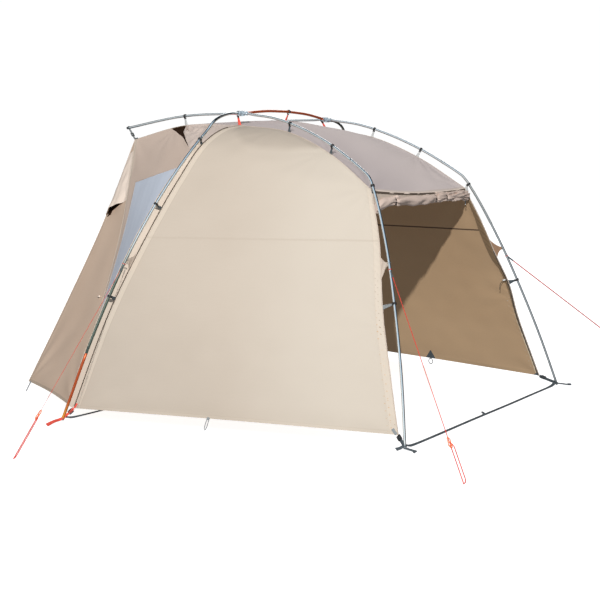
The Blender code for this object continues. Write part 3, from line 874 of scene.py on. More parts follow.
def place(piece: bpy.types.Object, *finishes: Finish, slot: str = "",
          stands_for: Sequence[str] = ()) -> bpy.types.Object:
    """Dress a piece, seat it on the body and report it.

    Args:
        piece: The object.
        finishes: Its finishes in slot order.
        slot: The record's slot, where it isn't the first finish's own; not used.
        stands_for: The frame's nodes that it stands for.

    Returns:
        The piece.
    """
    for finish in finishes:
        piece.data.materials.append(finish.material())
    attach(piece, BODY)
    if stands_for:
        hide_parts(*stands_for)
    LOG.info("%s: %d faces", piece.name, len(piece.data.polygons))
    return piece


# The plan that the frame is built on

@dataclass(frozen=True)
class Skeleton:
    """The lines of the poles."""

    long_foot_y: float = 1.340
    long_lean: float = 0.3353
    long_marks: tuple = (
        (1.415, 0.0037), (1.310, 0.42), (1.182, 0.84), (1.020, 1.29), (0.850, 1.655),
        (0.820, 1.707), (0.790, 1.743), (0.745, 1.777), (0.680, 1.820),
        (0.451, 1.956), (0.179, 2.080), (-0.091, 2.167), (-0.4175, 2.216))
    rear_marks: tuple = ((-0.4175, 2.216), (-0.977, 2.212), (-1.568, 2.130))
    arch_x: float = -1.040
    arch_slope: float = 0.2809
    arch_marks: tuple = (
        (1.943, 0.0037), (1.900, 0.170), (1.856, 0.363),
        (1.712, 0.840), (1.564, 1.215), (1.325, 1.645), (1.041, 2.009),
        (0.975, 2.078), (0.915, 2.148), (0.870, 2.174), (0.735, 2.210), (0.597, 2.216))
    ridge_marks: tuple = ((0.0, 2.257), (0.300, 2.247), (0.597, 2.216))
    long_cut: int = 8
    arch_foot_cut: int = 2
    arch_leg_cut: int = 6
    steps: int = 8
    pole_radius: float = 0.0095
    arch_radius: float = 0.0105
    hub_reach: float = 0.052
    hub_stop: float = 0.021

    def long_points(self, marks: Any, side: Side) -> Points:
        """Points of a long pole's leaning plane from (x, z) marks."""
        return side.mirror([(x, self.long_foot_y - self.long_lean * z, z) for x, z in marks])

    def arch_points(self, marks: Any, side: Side) -> Points:
        """Points of the arch's leaning plane from (y, z) marks."""
        return side.mirror([(self.arch_slope * z + self.arch_x, y, z) for y, z in marks])

    def long_line(self, side: Side) -> Points:
        """A long pole from its foot to the hub."""
        return smooth(self.long_points(self.long_marks, side), self.steps)

    def rear_line(self, side: Side) -> Points:
        """A long pole from the hub to its rear end."""
        return smooth(self.long_points(self.rear_marks, side), self.steps * 3)

    def arch_line(self, side: Side) -> Points:
        """The arch from its foot to the hub."""
        return smooth(self.arch_points(self.arch_marks, side), self.steps)

    def ridge_line(self, side: Side) -> Points:
        """The arch from its middle to the hub."""
        return smooth(self.arch_points(self.ridge_marks, side), self.steps * 2)

    def hub(self, side: Side) -> tuple[Points, dict[str, Points]]:
        """A hub's centre and the directions of its four sockets."""
        centre = self.long_points((self.long_marks[-1],), side)[0]
        ahead = unit(self.long_points((self.long_marks[-2],), side)[0]
                     - self.long_points((self.rear_marks[1],), side)[0])
        inward = unit(self.arch_points((self.ridge_marks[1],), side)[0]
                      - self.arch_points((self.arch_marks[-2],), side)[0])
        return centre, {"ahead": ahead, "back": -ahead, "inward": inward, "outward": -inward}

    def cut(self, line: Points, mark: int) -> tuple[Points, Points]:
        """Cut a line in two, a quarter of a cell past a mark."""
        at = mark * self.steps + self.steps // 4
        along = unit(line[at + 1] - line[at - 1]) * GAP / 2
        return (np.concatenate([line[:at], [line[at] - along]]),
                np.concatenate([[line[at] + along], line[at + 1:]]))

    def into_hub(self, line: Points, centre: Points, way: Points) -> Points:
        """A line that ends in the hub's socket on the side that way points to."""
        reach = self.hub_reach + GAP
        clear = line[np.linalg.norm(line - centre, axis=1) > 2 * reach]
        return np.concatenate([clear, [centre + way * reach],
                               [centre + way * (self.hub_stop + GAP)]])


@dataclass(frozen=True)
class ClothPlan:
    """The corners and edges of the cloth, on the far side."""

    peak: tuple = (-0.423, 0.620, 2.125)
    door_corner: tuple = (0.815, 0.752, 1.645)
    door_hem: tuple = (1.279, 1.283, 0.073)
    arch_hem: tuple = (-1.019, 1.845, 0.075)
    side_hem: tuple = (-1.072, 1.818, 0.075)
    mouth_hem: tuple = (-2.070, 1.300, 0.080)
    mouth_corner: tuple = (-1.500, 0.604, 2.038)
    arch_marks: tuple = ((1.645, 0.810), (1.425, 1.300), (1.200, 1.700), (0.985, 1.985),
                         (0.800, 2.088))
    roof_marks: tuple = ((0.010, 0.614, 2.067), (0.433, 0.668, 1.893))
    door_marks: tuple = ((1.165, 1.143, 0.500), (1.049, 1.005, 0.910), (0.947, 0.872, 1.306))
    rear_marks: tuple = ((-0.977, 0.598, 2.138),)
    seam_marks: tuple = ((-1.137, 1.566, 0.460), (-1.201, 1.313, 0.846),
                         (-1.301, 1.002, 1.342), (-1.420, 0.757, 1.760))
    mouth_marks: tuple = ((-1.841, 1.067, 0.737), (-1.650, 0.850, 1.345))
    corner_hem_mark: tuple = (-1.580, 1.530, 0.078)
    hem_lift: float = 0.004
    near_flare: float = 0.062
    flare_from: float = 0.8
    far_pull: float = 0.040
    pull_height: float = 0.87
    pull_reach: float = 0.21
    ridge_rise: float = 0.060
    header_sag: float = 0.026
    mouth_sag: float = 0.020
    seam_warp: float = 0.080
    arch_cells: int = 144
    roof_cells: int = 96
    side_cells: int = 64
    ridge_cells: int = 100

    def edges(self, side: Side, skeleton: Skeleton) -> dict[str, Points]:
        """Every cloth edge of one side, from its lower or outer end."""
        middle = (np.array(self.arch_hem) + np.array(self.door_hem)) / 2
        middle[2] += self.hem_lift
        arch = skeleton.arch_points(self.arch_marks, Side.FAR)
        rows, wide, narrow = self.arch_cells, self.roof_cells, self.side_cells
        spans = {
            "arch": (rows, self.arch_hem, *arch, self.peak),
            "roof": (wide, self.peak, *self.roof_marks, self.door_corner),
            "door": (rows, self.door_hem, *self.door_marks, self.door_corner),
            "hem": (wide, self.arch_hem, middle, self.door_hem),
            "rear": (narrow, self.mouth_corner, *self.rear_marks, self.peak),
            "seam": (rows, self.side_hem, *self.seam_marks, self.mouth_corner),
            "side_hem": (narrow, self.side_hem, self.arch_hem),
            "mouth": (rows, self.mouth_hem, *self.mouth_marks, self.mouth_corner),
            "corner_hem": (narrow, self.mouth_hem, self.corner_hem_mark, self.side_hem),
        }
        edges = {name: even(side.mirror(points), cells, self.seam_warp if name == "seam" else 0.0)
                 for name, (cells, *points) in spans.items()}
        if side is Side.NEAR:
            low = np.clip(1.0 - edges["door"][:, 2] / self.flare_from, 0.0, 1.0)
            edges["door"][:, 0] += self.near_flare * low ** 1.3
            edges["hem"][:, 0] += self.near_flare * low[0] ** 1.3 * np.linspace(0, 1, wide + 1) ** 4
        else:
            pull = np.exp(-((edges["door"][:, 2] - self.pull_height) / self.pull_reach) ** 2)
            edges["door"][:, 0] += self.far_pull * pull
        return edges

    def across(self, start: Points, end: Points, rise: float) -> Points:
        """A bowed line from the near side to the far side."""
        t = np.linspace(0.0, 1.0, self.ridge_cells + 1)[:, None]
        return start * (1 - t) + end * t + 4 * rise * t * (1 - t) * np.array((0, 0, 1.0))


SKELETON = Skeleton()
PLAN = ClothPlan()
EDGES = {side: PLAN.edges(side, SKELETON) for side in Side}


class Panel:
    """A cloth panel as a grid of points, which is folded and then turned into thin cloth."""

    def __init__(self, name: str, points: Grid) -> None:
        """Take the taut surface and measure it.

        Args:
            name: The piece's name.
            points: Rows of points, low to high, each from left to right.
        """
        self.name = name
        self.points = np.array(points, float)
        width = np.linalg.norm(np.diff(self.points, axis=1), axis=2)
        depth = np.linalg.norm(np.diff(self.points, axis=0), axis=2)
        self.across = np.pad(np.cumsum(width, axis=1), ((0, 0), (1, 0)))
        self.along = np.pad(np.cumsum(depth, axis=0), ((1, 0), (0, 0)))
        self.layers = {
            "left": self.across,
            "right": self.across[:, -1:] - self.across,
            "low": self.along,
            "high": self.along[-1:] - self.along,
        }

    def normals(self) -> Grid:
        """Directions that point out of the awning."""
        side = np.gradient(self.points, axis=1)
        rise = np.gradient(self.points, axis=0)
        facing = unit(np.cross(side, rise))
        outward = (facing * (self.points - INSIDE)).sum()
        return facing if outward > 0 else -facing

    def held(self, **widths: float) -> np.ndarray:
        """A mask that is 0 on the named edges and 1 beyond the given widths."""
        mask = np.ones(self.points.shape[:2])
        for edge, width in widths.items():
            mask = mask * step(self.layers[edge] / width)
        return mask

    def fan(self, u: float, v: float, reach: float, height: float, count: float,
            phase: float = 0.0) -> np.ndarray:
        """Folds that fan out from a point that pulls on the cloth.

        Args:
            u: The point's share of the way across.
            v: The point's share of the way up.
            reach: Where the folds are highest.
            height: Their height there.
            count: How many in a full turn.
            phase: Turns the fan.

        Returns:
            A height for each point.
        """
        rows, columns = self.points.shape[:2]
        j, i = int(round(v * (rows - 1))), int(round(u * (columns - 1)))
        aside = self.across - self.across[j, i]
        upward = self.along - self.along[j, i]
        away = np.hypot(aside, upward)
        turn = np.arctan2(upward, aside)
        fall = (away / reach) * np.exp(1 - away / reach)
        return height * np.sin(count * turn + phase) * fall

    def swell(self, height: float, size: float, seed: int) -> np.ndarray:
        """Slow uneven waves.

        Args:
            height: Their height.
            size: Their length.
            seed: Picks one pattern.

        Returns:
            A height for each point.
        """
        chance = np.random.default_rng(seed)
        total = np.zeros(self.points.shape[:2])
        for _ in range(7):
            turn, phase = chance.uniform(0, math.tau, 2)
            pace = math.tau / (size * chance.uniform(0.6, 1.6))
            run = self.across * math.cos(turn) + self.along * math.sin(turn)
            total += np.sin(run * pace + phase)
        return total * height / 3.0

    def fold(self, amount: np.ndarray) -> None:
        """Move the points out by an amount each."""
        self.points = self.points + self.normals() * amount[..., None]

    def on(self, u: Any, v: Any, lift: float = 0.0) -> Points:
        """Points of the folded cloth at shares of the way across and up.

        Args:
            u: Shares across, from the left edge.
            v: Shares up, from the low edge.
            lift: How far outside the cloth they are.

        Returns:
            The points.
        """
        u, v = np.broadcast_arrays(np.asarray(u, float), np.asarray(v, float))
        rows, columns = self.points.shape[:2]
        i = np.clip(u * (columns - 1), 0, columns - 1.001)
        j = np.clip(v * (rows - 1), 0, rows - 1.001)
        a, b = (i % 1)[..., None], (j % 1)[..., None]
        i, j = i.astype(int), j.astype(int)
        skin = self.points + self.normals() * lift
        return ((skin[j, i] * (1 - a) + skin[j, i + 1] * a) * (1 - b)
                + (skin[j + 1, i] * (1 - a) + skin[j + 1, i + 1] * a) * b)

    def fans(self, *pulls: tuple) -> np.ndarray:
        """Folds from several points, each as the arguments of fan."""
        return sum(self.fan(*pull) for pull in pulls)

    def build(self, thickness: float = 0.0012, keep: Optional[np.ndarray] = None
              ) -> bpy.types.Object:
        """Turn the grid into cloth with an outer face, an inner face and a rim.

        Args:
            thickness: The cloth's thickness.
            keep: True for each cell that is there.

        Returns:
            The object, with material 0 outside and 1 inside.
        """
        facing = self.normals()
        rows, columns = self.points.shape[:2]
        total = rows * columns
        number = np.arange(total).reshape(rows, columns)
        quads = np.stack([number[:-1, :-1], number[:-1, 1:], number[1:, 1:], number[1:, :-1]], -1)
        quads = quads.reshape(-1, 4) if keep is None else quads[keep]
        side, rise = self.points[:, 1:] - self.points[:, :-1], self.points[1:] - self.points[:-1]
        if (np.cross(side[:-1], rise[:, :-1]) * facing[:-1, :-1]).sum() < 0:
            quads = quads[:, ::-1]
        pairs = np.concatenate([quads[:, [k, (k + 1) % 4]] for k in range(4)])
        rim = pairs[~np.isin(pairs @ (total, 1), pairs @ (1, total))]
        walls = np.stack([rim[:, 1], rim[:, 0], rim[:, 0] + total, rim[:, 1] + total], -1)
        faces = np.concatenate([quads, quads[:, ::-1] + total, walls])
        slots = np.repeat((0, 1, 0), (len(quads), len(quads), len(walls)))
        half = facing * thickness / 2
        points = np.concatenate([self.points + half, self.points - half]).reshape(-1, 3)
        flat = np.tile(np.stack([self.across, self.along], -1).reshape(-1, 2), (2, 1))
        used, renumbered = np.unique(faces, return_inverse=True)
        layers = {key: np.tile(values.reshape(-1), 2)[used] for key, values in self.layers.items()}
        return make_mesh(self.name, points[used], renumbered.reshape(faces.shape).tolist(),
                         flat[faces.reshape(-1)], layers, slots, sharp=60.0)

    def dress(self, outside: Finish, inside: Finish, rests_on: Sequence[str],
              stands_for: Sequence[str] = (), slot: str = "", **options: Any) -> None:
        """Args:
            outside: The finish of its outer face.
            inside: The finish of its inner face.
            rests_on: The nodes or pieces that hold it; not used.
            stands_for: The frame's nodes that it stands for.
            slot: The record's slot, where it isn't the outer finish's own.
            options: Passed on to build.
        """
        piece = place(self.build(**options), outside, inside, slot=slot, stands_for=stands_for)
        wide, high = float(self.across[:, -1].max()), float(self.along[-1].max())
        area = sum(face.area for face in piece.data.polygons) / 2
        area = min(max(area, 0.31 * wide * high), wide * high)


# Sub-assemblies

@dataclass
class Poles:
    """Two bent long poles, the arch across them, their plugs and spring buttons."""

    plan: Skeleton = SKELETON
    sides: int = 20
    plug_length: float = 0.014
    plug_grow: float = 0.0010
    button_radius: float = 0.0032
    button_back: float = 0.030
    collar_length: float = 0.024
    collar_grow: float = 0.0007

    def build(self) -> None:
        """Build and dress every pole."""
        for side in Side:
            self.long_pole(side)
            self.arch(side)
        self.ridge()

    def section(self, name: str, line: Points, radius: float, finish: Finish = SILVER) -> None:
        """One pole section."""
        rod(f"{name}_tube", line, radius, finish, self.sides, 0.0008, stands_for=(name,))

    def joint(self, name: str, line: Points, radius: float) -> None:
        """A swaged collar over the end of a section, with its spring button."""
        way = unit(line[-1] - line[-4])
        reach = lengths(line)
        end = line[reach > reach[-1] - self.collar_length][-2:]
        run = np.concatenate([[line[-1] - way * self.collar_length], end])
        rod(f"{name}_collar", run, radius + self.collar_grow, SILVER, self.sides, 0.0008)
        back = line[-1] - way * self.button_back
        out = square(unit(back - INSIDE), way)
        run = [back + out * reach for reach in (radius * 0.8, radius + 0.001, radius + 0.0018)]
        rod(f"{name}_button", run, np.array([1.0, 1.0, 0.8]) * self.button_radius, SILVER, 12)

    def plug(self, name: str, line: Points, radius: float, finish: Finish) -> None:
        """The plastic plug on a pole's free end, which the line starts at."""
        way = unit(line[1] - line[0])
        run = [line[0] + way * reach for reach in (0.0002, self.plug_length / 2, self.plug_length)]
        rod(name, run, radius + self.plug_grow, finish, self.sides, 0.0016)

    def long_pole(self, side: Side) -> None:
        """One long pole: leg with its bend, front section and rear section."""
        key, radius = side.value, self.plan.pole_radius
        centre, ways = self.plan.hub(side)
        leg, front = self.plan.cut(self.plan.long_line(side), self.plan.long_cut)
        rear = self.plan.rear_line(side)[::-1]
        self.section(f"long_pole_leg_{key}", leg, radius)
        for name, line, way in (("front", front, ways["ahead"]), ("rear", rear, ways["back"])):
            self.section(f"long_pole_{name}_{key}", self.plan.into_hub(line, centre, way), radius)
        self.joint(f"long_pole_{key}", leg, radius)
        self.plug(f"long_pole_plug_{key}", leg, radius, GREY)
        self.plug(f"rear_end_plug_{key}", rear, radius, BLACK)

    def arch(self, side: Side) -> None:
        """One half of the arch: orange foot, silver leg and silver shoulder."""
        key, radius = side.value, self.plan.arch_radius
        centre, ways = self.plan.hub(side)
        line = self.plan.arch_line(side)
        foot, rest = self.plan.cut(line, self.plan.arch_foot_cut)
        _, shoulder = self.plan.cut(line, self.plan.arch_leg_cut)
        leg = rest[:len(rest) - len(shoulder) + 1]
        leg[-1] = shoulder[0] - unit(shoulder[1] - shoulder[0]) * GAP
        shoulder = self.plan.into_hub(shoulder, centre, ways["outward"])
        for name, part, finish in (("foot", foot, ORANGE), ("leg", leg, SILVER_PAINTED_REFLECTION),
                                   ("shoulder", shoulder, SILVER)):
            self.section(f"arch_{name}_{key}", part, radius, finish)
        self.joint(f"arch_{key}", leg, radius)
        self.plug(f"arch_plug_{key}", foot, radius, GREY)

    def ridge(self) -> None:
        """The orange ridge section between the two hubs."""
        halves = []
        for side in Side:
            centre, ways = self.plan.hub(side)
            halves.append(self.plan.into_hub(self.plan.ridge_line(side), centre, ways["inward"]))
        line = np.concatenate([halves[0][:0:-1], halves[1][1:]])
        self.section("arch_ridge", line, self.plan.arch_radius, ORANGE)


@dataclass
class Hubs:
    """The clear four-way hubs, with a lip round each socket and a rivet through the middle."""

    plan: Skeleton = SKELETON
    lip_wire: float = 0.0022
    lip_back: float = 0.003
    wall: float = 0.0035
    rivet_radius: float = 0.006
    rivet_half: float = 0.0205

    def build(self) -> None:
        """Dress the two hubs."""
        for side in Side:
            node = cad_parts[f"hub_{side.value}"]
            node.data.materials.clear()
            node.data.materials.append(CLEAR.material())
            self.trim(side)

    def trim(self, side: Side) -> None:
        """Socket lips and the rivet of one hub."""
        centre, ways = self.plan.hub(side)
        for way, axis in ways.items():
            pole = self.plan.pole_radius if way in ("ahead", "back") else self.plan.arch_radius
            seat = centre + axis * (self.plan.hub_reach - self.lip_back)
            ring(f"hub_lip_{way}_{side.value}", seat, axis, pole + self.wall, self.lip_wire, CLEAR)
        half = unit(np.cross(ways["ahead"], ways["inward"])) * self.rivet_half
        rod(f"hub_rivet_{side.value}", bar(centre, half), self.rivet_radius, GREY, 18, 0.0012)


@dataclass
class Canopy:
    """The roof, the two walls and the tunnel to the vehicle, with their folds."""

    plan: ClothPlan = PLAN
    roofs: tuple = (
        ("front", ROOF, (0.0035, 0.55, 3), (0.5, 0.0, 0.16, 0.003, 9),
         ((1.0, 0.20, 0.003, 10, 0.6), (0.64, 0.14, 0.002, 12)), 0.05, 0.04),
        ("rear", REAR_ROOF, (0.004, 0.5, 5), (0.5, 1.0, 0.16, 0.003, 9),
         ((0.0, 0.22, 0.005, 11, 0.4), (0.5, 0.15, 0.004, 13)), 0.03, 0.05))
    wall_fans: tuple = (
        (0.0, 0.0, 0.26, 0.0022, 8), (1.0, 0.0, 0.24, 0.0022, 9, 1.0),
        (1.0, 1.0, 0.24, 0.0018, 10, 2.0), (0.0, 0.46, 0.16, 0.0010, 8),
        (1.0, 0.42, 0.16, 0.0012, 9), (0.64, 1.0, 0.14, 0.0012, 9, 1.6),
        (0.30, 1.0, 0.14, 0.0012, 9))
    seam_height: float = 1.300
    # the line across a wall's top along which a crease is folded; above it the finish paints shade
    # through the crown layer
    crescent: tuple = ((0.0, 1.05), (0.07, 0.918), (0.174, 0.866), (0.24, 0.855), (0.29, 0.858),
                       (0.42, 0.892), (0.546, 0.958), (0.62, 1.05))
    window_u: tuple = (1 / 8, 7 / 8)
    window_v: tuple = (4 / 16, 12 / 16)
    window_top: tuple = ((0.0, 0.765), (0.082, 0.759), (0.268, 0.747), (0.457, 0.740),
                         (0.626, 0.744), (0.784, 0.753), (1.0, 0.765))
    vent_low: tuple = ((0.36, 1.0), (0.404, 0.977), (0.441, 0.962), (0.525, 0.927), (0.617, 0.899),
                       (0.71, 0.866), (0.816, 0.836), (0.844, 0.828), (1.0, 0.790))
    vent_high: tuple = ((0.50, 1.0), (0.566, 0.9345), (0.69, 0.879), (0.836, 0.831),
                        (0.844, 0.828), (1.0, 0.790))
    edge_ripple: float = 0.0021
    flap_shade_reach_in: float = 0.072
    flap_shade_width: tuple = ((0.10, 0.016), (0.71, 0.034), (0.85, 0.045), (0.98, 0.055), (1.05, 0.088),
                         (1.24, 0.098), (1.32, 0.093), (1.46, 0.072), (1.58, 0.036))
    flap_way: tuple = (-0.74, 0.67)
    flap_reach: float = 0.105
    pole_flap_top: float = 1.985
    pole_flap_gap: float = 0.008
    net_back: float = 0.006
    panels: dict = field(default_factory=dict)

    def build(self) -> None:
        """Build every cloth panel."""
        self.roof()
        for side in Side:
            self.wall(side)
            self.pole_flap(side)
            self.tunnel_side(side)
            self.corner(side)

    def roof_grids(self) -> tuple[Grid, Grid]:
        """The roof before and behind the ridge, from the near side to the far side."""
        near, far = EDGES[Side.NEAR], EDGES[Side.FAR]
        ridge, header, mouth = (
            self.plan.across(near[edge][end], far[edge][end], rise) for edge, end, rise in (
                ("roof", 0, self.plan.ridge_rise), ("roof", -1, -self.plan.header_sag),
                ("rear", 0, -self.plan.mouth_sag)))
        return (coons(ridge, header, near["roof"], far["roof"]),
                coons(mouth, ridge, near["rear"], far["rear"]))

    def roof(self) -> None:
        """The two roof panels."""
        for (name, finish, waves, top, pulls, low, high), grid in zip(self.roofs,
                                                                      self.roof_grids()):
            panel = Panel(f"roof_{name}_cloth", grid)
            folds = panel.swell(*waves) + panel.fan(*top)
            for u in (0.0, 1.0):
                folds += panel.fans(*((u, *pull) for pull in pulls))
            panel.fold(folds * panel.held(low=low, left=0.05, right=0.05, high=high))
            poles = [f"long_pole_{name}_{side.value}" for side in Side]
            panel.dress(finish, INNER, ["arch_ridge", *poles], (f"roof_{name}",))

    def wall(self, side: Side) -> None:
        """One main side wall."""
        key, edge = side.value, EDGES[side]
        panel = Panel(f"wall_{key}_cloth",
                      coons(edge["hem"], edge["roof"], edge["arch"], edge["door"]))
        folds = panel.swell(0.0028, 0.75, 11) + panel.swell(0.0011, 0.22, 12)
        folds += panel.fans(*self.wall_fans)
        right, along = panel.layers["right"], panel.along
        slant = (along - right * 0.8) * math.tau / 0.052 + 2.0 * np.sin(along * 7.0)
        folds += self.edge_ripple * np.exp(-((right - 0.04) / 0.04) ** 2) * np.sin(slant)
        u, v = shares(panel.points)
        crown = (v - np.interp(u, *zip(*self.crescent))) * panel.along[-1:]
        folds += 0.010 * step(crown / 0.20 + 0.5) - 0.003 * np.exp(-((crown + 0.01) / 0.06) ** 2)
        panel.fold(folds * panel.held(left=0.06, high=0.06, right=0.02, low=0.03))
        height = panel.points[..., 2]
        panel.layers["seam"] = height - self.seam_height
        # the flap layer places the painted shade of the doubled zip flap inside the door edge
        panel.layers["flap"] = right + self.flap_shade_reach_in - np.interp(height,
                                                                      *zip(*self.flap_shade_width))
        # the crown layer marks the wall's top above the crescent, where the finish paints shade
        panel.layers["crown"] = crown
        self.panels[f"wall_{key}"] = panel
        poles = ("arch_leg", "long_pole_front", "long_pole_leg")
        panel.dress(WALL, WALL_INNER, [f"{pole}_{key}" for pole in poles], (f"wall_{key}",))

    def pole_flap(self, side: Side) -> None:
        """The strip of cloth beside the arch seam, which runs in behind the pole."""
        edge, pole = EDGES[side]["arch"], SKELETON.arch_line(side)
        way = np.array((self.flap_way[0], -side.sign * self.flap_way[1], 0.0))
        rows = []
        for point in edge[edge[:, 2] < self.pole_flap_top][::2]:
            seat, _ = nearest(pole, point)
            fade = step((self.pole_flap_top - point[2]) / 0.35) * step((point[2] + 0.5) / 0.8)
            far = seat + way * (SKELETON.arch_radius + self.pole_flap_gap + self.flap_reach * fade)
            rows.append(between(far, point + way * 0.003, 6))
        panel = Panel(f"arch_flap_{side.value}", rows)
        panel.fold(panel.swell(0.0015, 0.25, 15) * panel.held(right=0.02))
        panel.dress(FLAP_CLOTH, FLAP_CLOTH, [f"arch_leg_{side.value}"])

    def slit(self, grid: Grid) -> tuple[Grid, Grid, Grid]:
        """Cut the vent slit below the roof's edge, and level the window's upper edge.

        Args:
            grid: The tunnel side's whole surface.

        Returns:
            The tunnel side up to the slit, the crown gusset beyond it and the net behind it.
        """
        rows, columns = grid.shape[:2]
        u, v = np.linspace(0.0, 1.0, columns), np.linspace(0.0, 1.0, rows)
        low, high, top = (np.interp(u, *zip(*marks), left=left) for marks, left in (
            (self.vent_low, 1.0), (self.vent_high, 1.0), (self.window_top, None)))

        def sample(wanted: np.ndarray) -> Grid:
            """Points of the surface at wanted shares up, column by column."""
            parts = [trace(wanted[:, i], v, grid[:, i]) for i in range(columns)]
            return np.stack(parts, axis=1)

        knots = (0.0, 0.55, self.window_v[1], 1.0)
        side = sample(np.array([np.interp(v, knots, (0.0, 0.55, top[i], low[i]))
                                for i in range(columns)]).T)
        start = np.minimum(high, 0.997)
        crown = sample(start + np.linspace(0.0, 1.0, 30)[:, None] * (1.0 - start))
        below = low - 0.02
        net = sample(below + np.linspace(0, 1, 10)[:, None] * (np.minimum(high + 0.02, 1) - below))
        return side, crown[:, u >= self.vent_high[0][0]], net[:, (u > 0.34) & (u < 0.87)]

    def tunnel_side(self, side: Side) -> None:
        """One tunnel side with its window, vent slit, crown gusset and net."""
        key, edge = side.value, EDGES[side]
        points, crown, net = self.slit(
            coons(edge["side_hem"], edge["rear"], edge["seam"], edge["arch"]))
        panel = Panel(f"tunnel_side_{key}_cloth", points)
        u, v = shares(points)
        calm = np.maximum(np.abs(u - 0.5) / 0.40, np.abs(v - 0.5) / 0.27)
        folds = panel.swell(0.003, 0.4, 21) + panel.fans(
            (0.0, 1.0, 0.2, 0.002, 9), (1.0, 0.0, 0.2, 0.003, 9), (0.4, 1.0, 0.12, 0.0015, 8))
        held = panel.held(left=0.04, right=0.04, low=0.03, high=0.03)
        panel.fold(folds * held * step((calm - 0.95) * 4))
        mid_u, mid_v = ((axis[1:, 1:] + axis[:-1, :-1]) / 2 for axis in (u, v))
        hole = ((mid_v > self.window_v[0]) & (mid_v < self.window_v[1])
                & (mid_u > self.window_u[0]) & (mid_u < self.window_u[1]))
        arch_leg = [f"arch_leg_{key}"]
        panel.dress(SIDE_CLOTH, INNER, [*arch_leg, f"long_pole_rear_{key}"],
                    (f"tunnel_side_{key}",), keep=~hole)
        self.window(key, panel.points)
        cap = Panel(f"crown_gusset_{key}", crown)
        folds = cap.swell(0.004, 0.09, 31) + cap.fans((0.0, 1.0, 0.10, 0.009, 13),
                                                      (0.45, 1.0, 0.08, 0.006, 10))
        cap.fold(0.003 + folds * cap.held(high=0.02, right=0.03, low=0.01))
        cap.dress(CROWN_CLOTH, INNER, arch_leg)
        mesh = Panel(f"vent_net_{key}", net)
        mesh.fold(np.full(mesh.points.shape[:2], -self.net_back))
        mesh.dress(NET_WITH_PAINTED_SHADE, NET_WITH_PAINTED_SHADE, arch_leg, thickness=0.0008)

    def window(self, key: str, points: Grid) -> None:
        """The window pane and its welded frame."""
        rows, columns = points.shape[0] - 1, points.shape[1] - 1
        i0, i1 = (int(round(share * columns)) for share in self.window_u)
        j0, j1 = (int(round(share * rows)) for share in self.window_v)
        pane = Panel(f"window_{key}_film", points[j0:j1 + 1, i0:i1 + 1])
        pane.fold(pane.swell(0.0016, 0.35, 41) * pane.held(left=.05, right=.05, low=.05, high=.05))
        pane.dress(FILM, INNER, [f"tunnel_side_{key}"], (f"window_{key}",), thickness=0.0009)
        outline, facing = (
            np.concatenate([grid[0, :-1], grid[:-1, -1], grid[-1, :0:-1], grid[::-1, 0]])
            for grid in (pane.points, pane.normals()))
        inward = unit(outline.mean(axis=0) - outline)
        web(f"window_frame_{key}", outline + facing * 0.0016, inward, 0.014, SIDE_CLOTH, 0.0012)

    def corner(self, side: Side) -> None:
        """One flared tunnel corner towards the vehicle, with its vent hood."""
        key, edge = side.value, EDGES[side]
        top = between(edge["mouth"][-1], edge["seam"][-1], self.plan.side_cells)
        grid = coons(edge["corner_hem"], top, edge["mouth"], edge["seam"])
        hood = Hood(key, grid)
        panel = Panel(f"tunnel_corner_{key}_cloth", grid[:-2])
        folds = panel.swell(0.003, 0.45, 51) + panel.fans(
            (0.0, 0.0, 0.24, 0.004, 12), (1.0, 0.0, 0.24, 0.003, 12, 1.0),
            (0.5, 1.0, 0.3, 0.003, 9))
        panel.fold(folds * panel.held(left=0.03, right=0.04, low=0.03))
        u, v = shares(grid[:-2])
        v = v * (len(grid) - 3) / (len(grid) - 1)
        gap = (v >= hood.first + 0.004) & (v < hood.last - 0.01) & (u > 0.03) & (u < hood.open_to)
        panel.dress(CORNER_CLOTH, INNER, [f"long_pole_rear_{key}"], (f"tunnel_corner_{key}",),
                    keep=~gap[:-1, :-1])
        self.panels[f"corner_{key}"] = panel
        hood.build()


@dataclass
class Hood:
    """The vent hood over the top of a tunnel corner, with the net behind it."""

    key: str
    corner: Grid
    first: float = 11 / 16
    last: float = 15 / 16
    open_to: float = 0.84
    bulge: float = 0.046
    arch_end: float = 0.87
    lift: float = 0.0025
    ruffle: float = 0.004
    net_back: float = 0.003

    def build(self) -> None:
        """Build the hood and its net."""
        rows = self.corner.shape[0] - 1
        start, end = int(self.first * rows), int(self.last * rows)
        grid = self.corner[start:end + 1]
        panel = Panel(f"vent_hood_{self.key}_cloth", grid)
        u = np.linspace(0, 1, grid.shape[1])[None, :]
        part = np.linspace(1, 0, grid.shape[0])[:, None]
        arch = np.sin(math.pi * np.minimum(u / self.arch_end, 1.0))
        folds = panel.swell(0.003, 0.12, 61) * panel.held(left=0.03, right=0.03)
        ruffle = self.ruffle * np.sin(u * 19 + 1.0) * part ** 2 * arch
        panel.fold(self.lift + self.bulge * part ** 1.3 * arch + folds + ruffle)
        panel.dress(HOOD_CLOTH, INNER, [f"tunnel_corner_{self.key}"], (f"vent_hood_{self.key}",),
                    thickness=0.0014)
        columns = slice(1, int((self.open_to + 0.02) * self.corner.shape[1]))
        net = Panel(f"hood_net_{self.key}", self.corner[start - 1:end + 1, columns])
        net.fold(np.full(net.points.shape[:2], -self.net_back))
        net.dress(NET_WITH_PAINTED_SHADE, NET_WITH_PAINTED_SHADE, [f"tunnel_corner_{self.key}"], thickness=0.0006)


